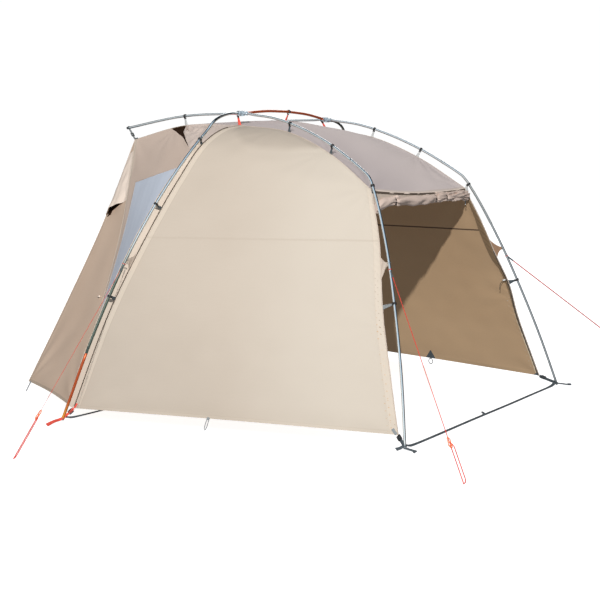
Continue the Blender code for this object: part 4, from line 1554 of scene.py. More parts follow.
@dataclass
class Rolls:
    """The rolled-up door in front of the header, and the rolled panel at the vehicle mouth."""

    canopy: Canopy
    door_radius: float = 0.0335
    door_ahead: float = 0.018
    door_drop: tuple = ((-0.745, 0.140), (-0.70, 0.117), (-0.65, 0.094), (-0.55, 0.071),
                        (-0.46, 0.062), (-0.11, 0.062), (0.18, 0.048), (0.34, 0.042),
                        (0.576, 0.050), (0.70, 0.054), (0.745, 0.060))
    door_ties: tuple = (-0.463, 0.179, 0.355)
    bunched: tuple = (0.16, 0.75)
    loose_at: float = 0.715
    mouth_radius: float = 0.027
    mouth_end: float = 0.560
    mouth_ties: tuple = (-0.36, 0.0, 0.36)
    sides: int = 40
    tie_reach: float = 0.016
    tie_depth: float = 0.34
    gather_reach: float = 0.06
    lap: float = 0.10

    def build(self) -> None:
        """Build both rolls with their ties."""
        front, rear = self.canopy.roof_grids()
        marks = np.array(self.door_drop)
        y = np.linspace(marks[0, 0], marks[-1, 0], 260)
        edge = trace(y, front[-1][:, 1], front[-1])
        line = edge + (self.door_ahead, 0.0, 0.0)
        line[:, 2] -= np.interp(y, *marks.T)
        line[:, 2] = np.convolve(np.pad(line[:, 2], 8, mode="edge"), np.ones(17) / 17, "valid")
        self.roll("door_roll", line, self.door_radius, 71, self.door_ties, 1.0)
        lead = Panel("door_lead", between(line, edge + DOWN * 0.004, 6))
        lead.dress(LIGHT_CLOTH, INNER, ["roof_front"])
        # partly painted shade: a dark zip tape under the header, which also stands in for the shade
        # in the gap above the roll
        web("header_zip_tape_painted_shade", edge + (0.0055, 0.0, -0.012), DOWN, 0.016, PIPING, 0.0010)
        start = line[int(np.abs(y - self.loose_at).argmin())] + DOWN * self.door_radius * 0.8
        hang = smooth([start, start + (0.006, 0.004, -0.020), start + (0.002, 0.010, -0.045)])
        web("door_roll_strap", hang, (0, 1, 0), 0.014, DARK_WEB)
        rod("door_roll_strap_end", hang[-3:] + (0.0, 0.0, -0.003), 0.0045, WHITE, lip=0.001)
        y = np.linspace(-self.mouth_end, self.mouth_end, 200)
        below = np.cross(unit(rear[1, len(rear[1]) // 2] - rear[0, len(rear[0]) // 2]), (0, 1, 0))
        below = below if below[2] < 0 else -below
        line = trace(y, rear[0][:, 1], rear[0]) + below * (self.mouth_radius + 0.004)
        self.roll("mouth_roll", line, self.mouth_radius, 73, self.mouth_ties, -1.0)

    def roll(self, name: str, line: Points, radius: float, seed: int, ties: Sequence[float],
             out: float) -> None:
        """One rolled panel.

        Args:
            name: The frame's node, and the start of the pieces' names.
            line: Its centre line.
            radius: Its radius.
            seed: Picks its wrinkles.
            ties: Where its ties are, along Y.
            out: The sign of X on its outer side, 1 for the door's roll.
        """
        chance = np.random.default_rng(seed)
        y = line[:, 1]
        away = np.min([np.abs(y - at) for at in ties], axis=0)
        grip = np.exp(-(away / self.tie_reach) ** 2)[:, None]
        ends = np.minimum(y - y[0], y[-1] - y)
        low, high = self.bunched if out > 0 else (9.0, 9.0)
        inside = step((y - low) / 0.03) * step((high - y) / 0.03)
        gather = np.maximum(np.exp(-np.minimum(away, ends) / self.gather_reach), inside)[:, None]
        turn = np.linspace(0.0, math.tau, self.sides, endpoint=False)[None, :]
        size = np.ones((len(y), self.sides))
        for k in range(12):
            pace, lead, twist = chance.uniform(8, 42), chance.uniform(0, 6.28), k % 4
            size += 0.038 * np.sin(y[:, None] * pace + lead + twist * turn)
        for k in range(5):
            lead, pace = chance.uniform(0, 6.28), chance.uniform(3, 9)
            size += 0.030 * np.sin((3 + k) * turn + lead + 1.4 * np.sin(y[:, None] * pace + lead))
        for k in range(7):
            lead = chance.uniform(0, 6.28)
            slant = y[:, None] * chance.uniform(-40, 40)
            size += 0.080 * gather * np.sin((5 + k) * turn + lead + slant)
        wind = (turn / math.tau + 0.30 + 0.05 * np.sin(y[:, None] * 8)) % 1.0
        size += self.lap * (wind - 0.5)
        size = radius * size * (1.0 - self.tie_depth * grip)
        across, up = frames(line)
        spoke = across[:, None] * np.cos(turn)[..., None] + up[:, None] * np.sin(turn)[..., None]
        body = loft(f"{name}_cloth", line[:, None] + spoke * size[..., None], sharp=70.0)
        place(body, ROLL_CLOTH, slot="wall_cloth" if out > 0 else "side_cloth", stands_for=(name,))
        for number, at in enumerate(ties):
            k = int(np.abs(y - at).argmin())
            self.tie(f"{name}_tie_{number}", line[k], float(size[k].mean()) + 0.0015, out)

    def tie(self, name: str, centre: Points, radius: float, out: float) -> None:
        """A webbing tie round the roll, with its buckle on the outer side."""
        turns = np.append(np.linspace(0.0, math.tau, 32, endpoint=False), 0.0)
        loop = [centre + np.array((out * math.cos(t), 0.0, math.sin(t))) * radius for t in turns]
        web(name, loop, (0, 1, 0), 0.011, BROWN_WEB, 0.0016)
        face = centre + np.array((out * 0.86, 0.0, -0.5)) * radius
        for part, lift, reach, wire in (("buckle", 0.0, 0.011, 0.0050),
                                        ("bar", 0.014, 0.008, 0.0030)):
            rod(f"{name}_{part}", bar(face + DOWN * lift, (0.0, reach, 0.0)), wire, BLACK, 10,
                0.001)


@dataclass
class Trim:
    """Piping along the seams, the header lip, zips, pegging loops and corner tabs."""

    canopy: Canopy
    piping_radius: float = 0.0040
    piping_end: float = 0.955
    zip_width: float = 0.019
    zip_top: float = 1.14
    loop_at: dict = field(default_factory=lambda: {Side.NEAR: 0.4485, Side.FAR: 0.4948})
    patch_base: float = 0.112
    patch_height: float = 0.080
    lip_reach: float = 0.011

    def build(self) -> None:
        """Build the trim of both sides."""
        for side in Side:
            self.seams(side)
            self.door_zip(side)
            self.hem_loops(side)
            self.corner_tabs(side)
        self.header()

    def seams(self, side: Side) -> None:
        """Piping along the arch, and felled seams elsewhere."""
        edge = EDGES[side]
        arch = edge["arch"][1:]
        arch = arch[:int(len(arch) * self.piping_end)]
        for name, run, lift, radius, finish in (
                ("arch_piping", arch, 0.003, self.piping_radius, PIPING),
                ("roof_seam", edge["roof"], 0.0014, 0.0019, LIGHT_CLOTH),
                ("rear_seam", edge["rear"], 0.0014, 0.0019, LIGHT_CLOTH),
                ("door_edge", edge["door"], 0.0, 0.0042, LIGHT_CLOTH),
                ("corner_seam", edge["seam"][:-2], 0.0012, 0.0024, LIGHT_CLOTH),
                ("mouth_keder", edge["mouth"], 0.0010, 0.0034, SIDE_CLOTH)):
            rod(f"{name}_{side.value}", run + unit(run - INSIDE) * lift, radius, finish)

    def door_zip(self, side: Side) -> None:
        """The zip tape inside a wall's door edge, with its coil."""
        panel = self.canopy.panels[f"wall_{side.value}"]
        edge, facing = panel.points[:, -1], panel.normals()[:, -1]
        inward = unit(panel.points[:, -2] - edge)
        low = edge[:, 2] < self.zip_top
        edge, facing, inward = edge[low], facing[low], inward[low]
        width = self.zip_width * np.interp(edge[:, 2], (0.0, 0.9, self.zip_top), (1.0, 0.9, 0.3))
        web(f"door_zip_tape_{side.value}", edge + inward * 0.009 - facing * 0.0024, inward, width,
            PIPING, 0.0010)
        rod(f"door_zip_coil_{side.value}", edge + inward * 0.0048 - facing * 0.0030, 0.0022, BLACK,
            6)

    def hem_loops(self, side: Side) -> None:
        """The loops that peg a side's hems down, each with its patch."""
        key, at = side.value, self.loop_at[side]
        wall, corner = (self.canopy.panels[f"{name}_{key}"] for name in ("wall", "corner"))
        wide = self.patch_base / 2 / float(wall.across[0, -1])
        high = self.patch_height / float(wall.along[-1].mean())
        rows = [wall.on(at + wide * (1 - part) * np.linspace(-1.0, 1.0, 9), 0.001 + high * part,
                        -0.0022) for part in np.linspace(0.0, 0.96, 8)]
        Panel(f"hem_patch_{key}", rows).dress(DARK_WEB, DARK_WEB, [f"wall_{key}"], thickness=0.0010)
        foot = wall.on(at, 0.002, -0.001)
        along = unit(wall.on(at + 0.01, 0.0) - wall.on(at - 0.01, 0.0))
        if side is Side.NEAR:
            self.long_loop(f"hem_loop_{key}", foot, along, 0.021)
        else:
            self.round_loop(f"hem_loop_{key}", foot, along)
        foot = corner.on(0.037, 0.002)
        along = unit(corner.on(0.06, 0.0) - corner.on(0.01, 0.0))
        self.long_loop(f"mouth_loop_{key}", foot, along, 0.016)
        toggle = corner.on(np.array([0.880, 0.900, 0.920]), 0.325, 0.010)
        rod(f"seam_toggle_{key}", toggle, 0.0080, HOOD_CLOTH, 10, 0.001)

    def long_loop(self, name: str, foot: Points, along: Points, width: float) -> None:
        """A narrow webbing loop that slants to the ground, with a dark grip at its top."""
        level = unit(np.array((foot[0] - INSIDE[0], foot[1], 0.0)))
        tip = np.array((*foot[:2], 0.0)) + level * 0.035 - DOWN * 0.004 - along * 0.012
        down = unit(tip - foot)
        middle, half = (foot + tip) / 2, np.linalg.norm(tip - foot) / 2
        turn = np.linspace(0.0, math.tau, 40, endpoint=False)
        side = np.sign(np.cos(turn)) * np.abs(np.cos(turn)) ** 0.6
        loop = middle + np.outer(np.sin(turn), down * half) + np.outer(
            side, along * (width / 2 - 0.002))
        rod(name, loop, 0.0029, ELASTIC, closed=True)
        grip = [foot + down * reach for reach in (-0.004, 0.006, 0.016)]
        web(f"{name}_grip", grip, along, width, GREY_WEB, 0.006)

    def round_loop(self, name: str, foot: Points, along: Points) -> None:
        """A round elastic ring that hangs from a hem."""
        ring(name, foot + DOWN * 0.032, np.cross(along, DOWN), 0.024, 0.0040, ELASTIC)
        tab = [foot + DOWN * reach for reach in (-0.004, 0.004, 0.011)]
        web(f"{name}_tab", tab, along, 0.020, DARK_WEB, 0.0030)

    def corner_tabs(self, side: Side) -> None:
        """The webbing tabs that the foot straps start from, and the patches inside."""
        key, wall = side.value, self.canopy.panels[f"wall_{side.value}"]
        for name, u, run, rise, wide, finish, column in (
                ("door", 0.9955, -0.008, 0.020, 0.020, GREY_WEB, -2),
                ("arch", 0.002, 0.004, 0.013, 0.015, RED_WEB, 1)):
            share = np.linspace(1.0, 0.0, 8)
            line = wall.on(u + run * share, rise * share + 0.001, 0.0026)
            across = np.cross(wall.normals()[0, column], line[-1] - line[0])
            web(f"corner_tab_{name}_{key}", line, across, wide, finish)
        rows = [wall.on(np.linspace(1.0 - 0.024 * (1 - part), 0.9995, 6), 0.001 + 0.018 * part,
                        -0.0030) for part in np.linspace(0.0, 0.9, 6)]
        Panel(f"corner_patch_{key}", rows).dress(DARK_WEB, DARK_WEB, [f"wall_{key}"],
                                                 thickness=0.0010)

    def header(self) -> None:
        """The lip that hangs from the roof's edge over the door."""
        front, _ = self.canopy.roof_grids()
        edge, way = front[-1], unit(front[-1] - front[-2])
        rows = []
        for part in np.linspace(0.0, 1.0, 7):
            bend = 0.2 + part * 0.8
            turned = way * math.cos(bend) + DOWN * math.sin(bend)
            rows.append(edge + turned * self.lip_reach * part - DOWN * 0.0016)
        lip = Panel("header_lip", rows)
        lip.fold(lip.swell(0.0012, 0.16, 81) * lip.held(low=0.008))
        lip.dress(HOOD_CLOTH, INNER, ["roof_front"], slot="roof_cloth")


@dataclass
class Gussets:
    """The cloth gussets between each wall edge and its leg."""

    height: float = 1.120
    half: float = 0.075
    tip_half: float = 0.010
    hollow: float = 0.014
    far_raise: float = 0.032

    def build(self) -> None:
        """Build the four gussets."""
        for side in Side:
            for leg in legs(side):
                self.gusset(side, *leg)

    def gusset(self, side: Side, name: str, leg: Points, radius: float) -> None:
        """One gusset with hollowed upper and lower edges and its webbing end."""
        fine, node = even(EDGES[side][name], 600), f"gusset_{name}_{side.value}"
        door = name == "door"
        lifted = self.far_raise if side is Side.FAR and door else 0.0
        height = self.height + lifted
        inner = even(fine[np.abs(fine[:, 2] - height) < self.half], 14)
        middle = (inner[0] + inner[-1]) / 2
        pole, along = nearest(leg, middle + DOWN * lifted)
        reach = unit(pole - middle)
        lean = ((inner[:, 2] - height) / self.half)[:, None]
        share = np.linspace(0.0, 1.0, 15)[None, :, None]
        ends = pole - reach * (radius + GAP) + along * self.tip_half * lean
        rows = (inner + reach * 0.0014)[:, None] * (1 - share) + ends[:, None] * share
        rows = rows - along * (self.hollow * np.sin(math.pi * share) * lean[:, None])
        panel = Panel(f"{node}_cloth", rows)
        panel.fold(panel.swell(0.0022, 0.08, 91) * panel.held(left=0.02, right=0.02))
        # door gussets show their back face in painted shade
        panel.dress(LIGHT_CLOTH, SHADED_GUSSET_BACK if door else LIGHT_CLOTH, [f"wall_{side.value}"],
                    (node,))
        ring(f"{node}_loop", pole, along, radius + 0.0016, 0.0016, GREY_WEB)


def legs(side: Side) -> tuple:
    """The door leg and the arch leg of a side: name, line and radius."""
    return (("door", SKELETON.long_line(side), SKELETON.pole_radius),
            ("arch", SKELETON.arch_line(side), SKELETON.arch_radius))


@dataclass(frozen=True)
class ClipSpec:
    """One clip: its name, pole line, radius, place on the pole, tape end and tape finish."""

    name: str
    line: Points
    radius: float
    at: Points
    target: Points
    tape: Finish
    foot_width: float = 0.026
    node: bool = True


@dataclass
class Clips:
    """The hooks that hang the cloth from the poles, each with its sewn tape."""

    hook_wire: float = 0.0046
    hook_half: float = 0.0100
    hook_gap: float = 0.0006
    hook_turn: float = 2.35
    hook_reach: float = 0.010
    tape_top: float = 0.015
    hub_radius: float = 0.0135
    hub_back: float = 0.034
    leg_at: float = 0.897

    def build(self) -> None:
        """Build every clip."""
        for side in Side:
            for spec in self.specs(side):
                self.clip(spec)
            self.cord_lock(side)
        ridge = SKELETON.ridge_line(Side.FAR)
        front, _ = Canopy().roof_grids()
        self.clip(ClipSpec("ridge_clip", ridge, SKELETON.arch_radius, ridge[1],
                           front[0][len(front[0]) // 2], RED_WEB, 0.030))

    def specs(self, side: Side) -> list[ClipSpec]:
        """The clips of one side."""
        key, edge, near = side.value, EDGES[side], side is Side.NEAR
        long, rear, arch = (line(side) for line in (SKELETON.long_line, SKELETON.rear_line,
                                                    SKELETON.arch_line))
        dark = DARK_WEB if near else PALE_WEB

        def at(line: Points, axis: int, value: float) -> Points:
            """The point of a line at a value of X or Z."""
            line = line[:-24] if axis == 2 else line
            return line[int(np.abs(line[:, axis] - value).argmin())]

        def facing(name: str, point: Points) -> Points:
            """The cloth edge's point that is nearest to a point."""
            return nearest(edge[name], point)[0]

        centre, ways = SKELETON.hub(side)
        socket = [centre + ways["back"] * reach for reach in (0.01, self.hub_back, 0.05)]
        upper, lower, leg = at(long, 0, 0.045), at(long, 0, 0.451), at(long, 2, self.leg_at)
        thin, thick = SKELETON.pole_radius, SKELETON.arch_radius
        rows = [
            ("rear_clip", rear, thin, at(rear, 0, -0.977), at_share(edge["rear"], 0.5),
             PALE_WEB, 0.030),
            ("roof_clip", long, thin, lower, facing("roof", lower), dark),
            ("upper_roof_clip", long, thin, upper, facing("roof", upper), dark, 0.026, False),
            ("elbow_clip", long, thin, at(long, 0, 0.841), at_share(edge["door"], 0.985),
             dark, 0.026 if near else 0.042),
            ("leg_clip", long, thin, leg, facing("door", leg), GREY_WEB if near else DARK_WEB,
             0.034 if near else 0.042, False)]
        for name, height, *rest in (("arch_clip", 1.520), ("upper_arch_clip", 2.009, 0.026, False),
                                    ("lower_arch_clip", 0.878, 0.034, False)):
            point = at(arch, 2, height)
            rows.append((name, arch, thick, point, facing("arch", point), DARK_WEB, *rest))
        rows.append(("hub_clip", np.array(socket), self.hub_radius, socket[1], edge["roof"][0],
                     RED_WEB, 0.030, False))
        return [ClipSpec(f"{name}_{key}", *row) for name, *row in rows]

    def clip(self, spec: ClipSpec) -> None:
        """One hook and its tape."""
        pole, along = nearest(spec.line, spec.at)
        way = square(spec.target - pole, along)
        side = np.cross(along, way)
        inner = spec.radius + self.hook_wire * 0.5 + self.hook_gap
        arc = [pole + (side * math.sin(t) - way * math.cos(t)) * inner
               for t in np.linspace(-self.hook_turn, self.hook_turn, 26)]
        base = pole + way * (spec.radius + self.hook_reach)
        run = np.array([*arc, base])
        hooks = [tube(f"{spec.name}_arm_{number}", run + along * self.hook_half * shift,
                      self.hook_wire * 0.62, sides=8, lip=0.0006)
                 for number, shift in enumerate((-0.55, 0.0, 0.55))]
        hooks.append(tube(f"{spec.name}_bar", bar(base, along * self.hook_half),
                          self.hook_wire * 0.85, sides=10, lip=0.0006))
        place(join(f"{spec.name}_hook", hooks), BLACK, slot="clip_plastic",
              stands_for=(spec.name,) if spec.node else ())
        width = self.tape_top + (spec.foot_width - self.tape_top) * np.linspace(0, 1, 9) ** 1.3
        web(f"{spec.name}_tape", between(base, spec.target, 8), along, width, spec.tape, 0.0014,
            slot="webbing")

    def cord_lock(self, side: Side) -> None:
        """The white lock and its string inside the wall at the leg clip."""
        leg = nearest(SKELETON.long_line(side), (1.06, side.sign * 1.04, self.leg_at))[0]
        seat, along = nearest(EDGES[side]["door"], leg)
        inward = unit(np.array((-1.0, 0.0, 0.0)) + along * along[0])
        shift = (0.0, -side.sign * 0.012, 0.0)
        lock = [seat + inward * reach + shift for reach in (0.014, 0.026, 0.038)]
        rod(f"cord_lock_{side.value}", lock, 0.0068, WHITE, 12, 0.002)
        string = smooth([lock[2], lock[2] + inward * 0.02 + DOWN * 0.02,
                         lock[2] + inward * 0.03 + DOWN * 0.07])
        rod(f"cord_lock_string_{side.value}", string, 0.0026, PIPING, 8, 0.0003)


@dataclass
class Straps:
    """Straps at the feet and the mouth, with their buckles and loose tails."""

    width: float = 0.025
    door_back: float = 0.010
    end_lift: float = 0.018
    foot_height: float = 0.018
    mouth_width: float = 0.018
    tab_y: float = -0.083
    tail_width: float = 0.026
    feet: dict = field(default_factory=lambda: {
        "door": (DARK_WEB, 0.025, (0.7, 0.0, 0.7), 3),
        "arch": (RED_WEB, 0.019, (0.7, 0.0, -0.7), 4)})
    loose: tuple = (
        ("door_a", 0, DARK_WEB, 0.5, 0.017, (
            (0.004, 0.008, 0.012), (0.040, 0.020, 0.010), (0.072, 0.026, 0.008),
            (0.105, 0.052, 0.007))),
        ("door_b", 0, DARK_WEB, -0.6, 0.022, (
            (-0.012, 0.004, 0.020), (-0.022, 0.022, 0.012), (-0.035, 0.058, 0.008))),
        ("arch", 1, RED_WEB, -0.8, 0.022, (
            (0.010, -0.012, 0.020), (0.0, 0.020, 0.012), (0.012, 0.080, 0.013),
            (0.030, 0.140, 0.012), (0.052, 0.200, 0.008))))

    def build(self) -> None:
        """Build every strap."""
        self.ground()
        for side in Side:
            for leg in legs(side):
                self.foot(side, *leg)
            self.mouth(side)
            self.tails(side)

    def ground(self) -> None:
        """The two ground straps between opposite feet."""
        for (name, leg, radius), back in zip(legs(Side.FAR), (self.door_back, 0.0)):
            end = leg[0][1] - radius - GAP
            y = np.linspace(-end, end, 120)
            lift = self.end_lift * np.exp(-((end - np.abs(y)) / 0.05) ** 2)
            x = leg[0][0] - back + 0.0016 * np.sin(y * 5.0)
            tilt = 0.12 + 0.40 * np.exp(-((end - np.abs(y)) / 0.12) ** 2)
            line = np.column_stack([x, y, self.width / 2 * np.sin(tilt) + 0.001 + lift])
            across = np.column_stack([np.cos(tilt), 0 * y, -np.sin(tilt)])
            web(f"ground_strap_{name}_web", line, across, self.width, DARK_WEB,
                stands_for=(f"ground_strap_{name}",))
        x = SKELETON.long_marks[0][0] - self.door_back
        tab = smooth([(x + 0.002, self.tab_y - 0.030, 0.002), (x - 0.012, self.tab_y, 0.009),
                      (x - 0.034, self.tab_y + 0.012, 0.016)], 4)
        web("ground_strap_tab", tab, (0, 1, 0.2), 0.022, DARK_WEB)

    def foot(self, side: Side, name: str, leg: Points, radius: float) -> None:
        """The strap from a wall corner to a foot, with its buckle."""
        key, (finish, width, along, seat) = f"{name}_{side.value}", self.feet[name]
        corner, along = EDGES[side][name][0], np.array(along)
        rise = leg[1] - leg[0]
        low = leg[0] + rise * (self.foot_height - leg[0][2]) / rise[2]
        way = unit(low - corner)
        line = between(corner + way * 0.0015, low - way * (radius + 0.002), 13)
        line[:, 2] -= 0.003 * np.sin(math.pi * np.linspace(0.0, 1.0, 14))
        web(f"foot_strap_{key}_web", line, along, width, finish, stands_for=(f"foot_strap_{key}",))
        up = np.cross(way, along)
        outward = up if np.dot(up, line[6] - INSIDE) > 0 else -up
        buckle(f"foot_buckle_{key}", line[seat] + outward * 0.003, way, along, (0.034, 0.026),
               0.0052)
        ring(f"foot_wrap_{key}", low, unit(rise), radius + 0.0018, 0.0018, finish)

    def tails(self, side: Side) -> None:
        """The loose ends of webbing on the ground at the feet."""
        for name, number, finish, tilt, start, marks in self.loose:
            foot = legs(side)[number][1][0]
            line = smooth([(foot[0] + x, foot[1] + side.sign * y, z) for x, y, z in marks], 8)
            level = unit(np.cross(np.gradient(line, axis=0), DOWN))
            across = level * math.cos(tilt) - DOWN * math.sin(tilt)
            width = np.interp(np.linspace(0.0, 1.0, len(line)), (0.0, 0.7, 0.8, 1.0),
                              (start, start + 0.001, self.tail_width, self.tail_width))
            line[:, 2] = np.maximum(line[:, 2], math.sin(abs(tilt)) * width / 2 + 0.0015)
            web(f"strap_tail_{name}_{side.value}", line, across, width, finish)

    def mouth(self, side: Side) -> None:
        """The strap from a rear pole end down to the mouth's corner."""
        key, line = side.value, SKELETON.rear_line(side)
        along = unit(line[-2] - line[-1])
        pole = line[-1] + along * 0.020
        corner = EDGES[side]["mouth"][-1]
        way = unit(pole - corner)
        run = between(corner + way * 0.0025, pole - way * (SKELETON.pole_radius + 0.002), 11)
        web(f"mouth_strap_{key}_web", run, along, self.mouth_width, GREY_WEB,
            stands_for=(f"mouth_strap_{key}",))
        buckle(f"mouth_buckle_{key}", run[5], way, along, (0.024, 0.022))
        ring(f"mouth_wrap_{key}", pole, along, SKELETON.pole_radius + 0.0020, 0.0030, DARK_WEB)
        edge = EDGES[side]["rear"][:3] + unit(corner - INSIDE) * 0.004
        web(f"mouth_keeper_{key}", edge, way, 0.014, DARK_WEB)


def buckle(name: str, centre: Points, along: Points, across: Points, size: tuple[float, float],
           wire: float = 0.0042) -> None:
    """A black ladder-lock buckle: a frame with two bars.

    Args:
        name: The piece's name.
        centre: Its middle.
        along: The strap's direction.
        across: The direction of the strap's width.
        size: Its length and its width.
        wire: The radius of its frame.
    """
    along, across = unit(along), unit(across)
    half, wide = along * size[0] / 2, across * size[1] / 2
    corners = [half * a + wide * b for a, b in ((-1, -1), (-1, 0), (-1, 1), (0, 1), (1, 1),
                                                (1, 0), (1, -1), (0, -1))]
    rod(name, centre + np.array(corners), wire, BLACK, closed=True)
    for number, part in enumerate((-0.35, 0.35)):
        middle = centre + half * part + np.cross(along, across) * 0.003
        rod(f"{name}_bar_{number}", bar(middle, wide), 0.0030, BLACK, 8, 0.0008)


@dataclass
class Guys:
    """The taut guys with their sliders."""

    radius: float = 0.0022
    low_radius: float = 0.0032
    drop: float = 0.040
    far_drop: float = 0.022
    band: tuple = (1.120, 0.080)
    slider_size: tuple = (0.078, 0.015)
    slider_wire: float = 0.0028
    slider_outline: tuple = ((-1, 0), (-0.8, 0.8), (0.3, 0.9), (0.9, 0.8), (1, 0), (0.8, -0.9),
                             (-0.4, -0.9), (-0.9, -0.6), (-1, 0))
    whipping: float = 0.060
    whipping_grow: float = 0.0016
    knot_gap: float = 0.003
    sliders: dict = field(default_factory=lambda: {"door": (0.832, 0.020), "arch": (0.80, 0.010)})
    radii: dict = field(default_factory=lambda: {
        ("door", Side.NEAR): 0.0025, ("door", Side.FAR): 0.0042,
        ("arch", Side.NEAR): 0.0014, ("arch", Side.FAR): 0.0014})
    pegs: dict = field(default_factory=lambda: {
        ("door", Side.NEAR): (2.081, 1.875, 0.003), ("door", Side.FAR): (2.081, 2.163, 0.003),
        ("arch", Side.NEAR): (-0.484, 2.902, 0.003), ("arch", Side.FAR): (-0.484, 2.902, 0.003)})

    def build(self) -> None:
        """Build the four guys."""
        for side in Side:
            for leg in legs(side):
                self.guy(side, *leg)

    def guy(self, side: Side, name: str, leg: Points, radius: float) -> None:
        """One guy from the gusset's end to the ground."""
        edge, (middle, half) = EDGES[side][name], self.band
        seam = edge[np.abs(edge[:, 2] - middle) < half]
        pole, along = nearest(leg, (seam[0] + seam[-1]) / 2)
        far_door = side is Side.FAR and name == "door"
        knot, along = nearest(leg, pole - along * (self.drop + self.far_drop * far_door))
        peg, (share, wide) = side.mirror(self.pegs[(name, side)]), self.sliders[name]
        way = unit(peg - knot)
        line = between(knot + way * (radius + self.knot_gap), peg, 59)
        key, thick = f"guy_{name}_{side.value}", self.radii[(name, side)]
        radii = np.where(np.linspace(0.0, 1.0, len(line)) > share, self.low_radius, thick)
        rod(f"{key}_cord", line, radii, CORD, 10, stands_for=(f"guy_rope_{name}_{side.value}",))
        ring(f"{key}_collar", knot, along, radius + self.radius, self.radius, CORD)
        sleeve = [line[0] + way * self.whipping * part for part in (0.0, 0.5, 1.0)]
        rod(f"{key}_sleeve", sleeve, thick + self.whipping_grow, DARK_WEB, 10)
        self.slider(key, line[int(share * (len(line) - 1))], line[-1], way, wide)

    def slider(self, key: str, centre: Points, end: Points, way: Points, wide: float) -> None:
        """The slider and the doubled cord below it."""
        across = unit(np.cross(way, DOWN))
        span = np.linspace(0.0, 1.0, 30)
        bow = wide * np.sqrt(np.clip(np.minimum(span * 9, (1 - span) * 12), 0, 1))
        back = centre + np.outer(span, end - centre) + np.outer(bow, across)
        rod(f"{key}_return", back, self.low_radius, CORD)
        half, half_wide = way * self.slider_size[0] / 2, across * self.slider_size[1] / 2
        outline = smooth([centre + half * a + half_wide * b for a, b in self.slider_outline], 5)
        parts = [tube(f"{key}_slider_frame", outline[:-1], self.slider_wire, 8, closed=True)]
        for number, part in enumerate((-0.1, 0.55)):
            parts.append(tube(f"{key}_slider_bar_{number}",
                              bar(centre + half * part, half_wide * 0.9), 0.0030, 8, 0.0006))
        place(join(f"{key}_slider", parts), ORANGE_PLASTIC)


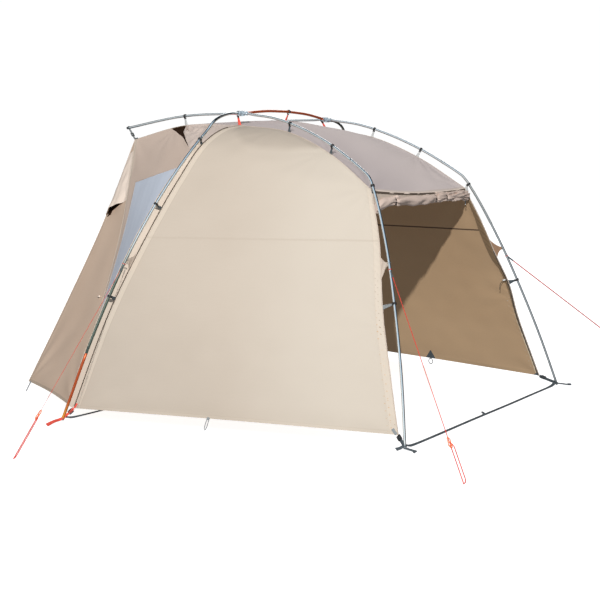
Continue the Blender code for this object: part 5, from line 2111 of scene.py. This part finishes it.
@dataclass
class Studio:
    """Pale floor, one key light, soft fill, a light from behind and the camera."""

    camera_at: tuple = (4.745, -7.565, 1.750)
    camera_dip: float = 6.376
    camera_turn: float = 33.612
    lens: float = 67.2
    sensor: float = 36.0
    key_at: tuple = (5.38, -10.20, 5.93)
    key_aim: tuple = (0.0, 0.0, 1.0)
    key_size: float = 0.24
    key_power: float = 1425.0
    back_from: tuple = (-0.42, 0.80, 0.50)
    back_power: float = 1.0
    back_angle: float = 40.0
    sky: tuple = (0.262, 0.272, 0.290)
    backdrop: float = 1.02
    floor_power: float = 0.80
    floor_angle: float = 75.0
    floor_from: tuple = (0.1, -0.15, 1.0)
    floor_size: float = 60.0
    floor_level: float = -0.001
    shine: tuple = ((0.0, (0.42, 0.42, 0.41)), (0.53, (0.46, 0.50, 0.52)),
                    (0.60, (1.22, 1.19, 1.12)), (0.71, (1.22, 1.20, 1.14)),
                    (0.80, (0.60, 0.76, 0.90)), (1.0, (0.66, 0.84, 1.0)))
    shine_back: float = 0.05
    shine_from: float = -0.60
    shine_fade: float = 0.50
    shine_turn: float = -22.0

    def build(self) -> None:
        """Set the camera, the lights and the floor."""
        self.camera()
        self.world()
        self.lights(self.floor())
        bpy.context.scene.view_settings.view_transform = "Standard"

    def put(self, name: str, data: Any, **values: Any) -> bpy.types.Object:
        """An object in the scene, whose data is given some values."""
        for key, value in values.items():
            setattr(data, key, value)
        made = bpy.data.objects.new(name, data)
        bpy.context.scene.collection.objects.link(made)
        return made

    def camera(self) -> None:
        """The camera at the photograph's place."""
        made = self.put("camera", bpy.data.cameras.new("camera"), lens=self.lens,
                        sensor_width=self.sensor, clip_start=0.05, clip_end=200.0)
        made.location = self.camera_at
        made.rotation_euler = (math.radians(90 - self.camera_dip), 0.0,
                               math.radians(self.camera_turn))
        bpy.context.scene.camera = made

    def world(self) -> None:
        """A white backdrop, an even dim fill, and a graded sheet that shiny parts reflect."""
        world = bpy.data.worlds.new("studio")
        bpy.context.scene.world = world
        shader = Shader(world)
        shader.tree.nodes.clear()
        way = shader.node("ShaderNodeTexCoord", {}, {}, "Generated")
        height = shader.node("ShaderNodeSeparateXYZ", {}, {0: way}, "Z") * 0.5 + 0.5
        turn = math.radians(self.camera_turn + self.shine_turn)
        ahead = (-math.sin(turn), math.cos(turn), 0.0)
        back = shader.node("ShaderNodeVectorMath", {"operation": "DOT_PRODUCT"},
                           {0: way, 1: ahead}, "Value")
        colour = shader.mix(0.0, self.shine[0][1], self.shine[0][1])
        for (low, _), (high, shade) in zip(self.shine, self.shine[1:]):
            colour = shader.mix((height - low) / (high - low), colour, shade)
        dim = 1.0 - ((back - self.shine_from) / self.shine_fade).clamp() * (1.0 - self.shine_back)
        rays = {name: shader.node("ShaderNodeLightPath", {}, {}, f"Is {name} Ray")
                for name in ("Glossy", "Camera")}
        fill, gloss, seen = (shader.node("ShaderNodeBackground", {}, {0: value, 1: power})
                             for value, power in ((self.sky, 1.0), (colour, dim),
                                                  ((self.backdrop,) * 3, 1.0)))
        mixed = shader.node("ShaderNodeMixShader", {}, {0: rays["Glossy"], 1: fill, 2: gloss})
        mixed = shader.node("ShaderNodeMixShader", {}, {0: rays["Camera"], 1: mixed, 2: seen})
        out = shader.tree.nodes.new("ShaderNodeOutputWorld")
        shader.feed(out.inputs[0], mixed)

    def floor(self) -> bpy.types.Object:
        """The plain pale floor just below the feet."""
        half = self.floor_size / 2
        mesh = bpy.data.meshes.new("floor")
        corners = [(-half, -half), (half, -half), (half, half), (-half, half)]
        mesh.from_pydata([(x, y, self.floor_level) for x, y in corners], [], [(0, 1, 2, 3)])
        floor = self.put("floor", mesh)
        mesh.materials.append(FLOOR.material())
        floor.visible_diffuse = floor.visible_glossy = False
        floor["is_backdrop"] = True
        return floor

    def lights(self, floor: bpy.types.Object) -> None:
        """The key light and the back light on the object, and the soft light on the floor."""
        lit, keyed, blockers = (bpy.data.collections.new(name)
                                for name in ("lit_pieces", "keyed_pieces", "blockers"))
        bare = [pole.material() for pole in BARE_POLES]
        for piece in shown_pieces():
            lit.objects.link(piece)
            if piece.data.materials[0] not in bare[:2]:
                keyed.objects.link(piece)
            if piece.data.materials[0] not in bare:
                blockers.objects.link(piece)
        stage = bpy.data.collections.new("lit_floor")
        stage.objects.link(floor)
        key = self.put("key", bpy.data.lights.new("key", "AREA"), shape="DISK",
                       size=self.key_size, energy=self.key_power)
        key.location = self.key_at
        back, soft = (
            self.put(name, bpy.data.lights.new(name, "SUN"), energy=power,
                     angle=math.radians(angle))
            for name, power, angle in (("back", self.back_power, self.back_angle),
                                       ("soft", self.floor_power, self.floor_angle)))
        for light, way, receivers in (
                (key, Vector(self.key_at) - Vector(self.key_aim), keyed),
                (back, self.back_from, lit), (soft, self.floor_from, stage)):
            light.rotation_mode = "QUATERNION"
            light.rotation_quaternion = Vector(way).to_track_quat("Z", "Y")
            light.light_linking.receiver_collection = receivers
        key.light_linking.blocker_collection = blockers


def main() -> None:
    """Build the sub-assemblies in order."""
    logging.basicConfig(level=logging.INFO, format="%(name)s %(message)s")
    canopy = Canopy()
    for part in (Poles(), Hubs(), canopy, Rolls(canopy), Trim(canopy), Gussets(), Clips(),
                 Straps(), Guys(), Studio()):
        LOG.info("building %s", type(part).__name__)
        part.build()


if __name__ == "__main__":
    main()
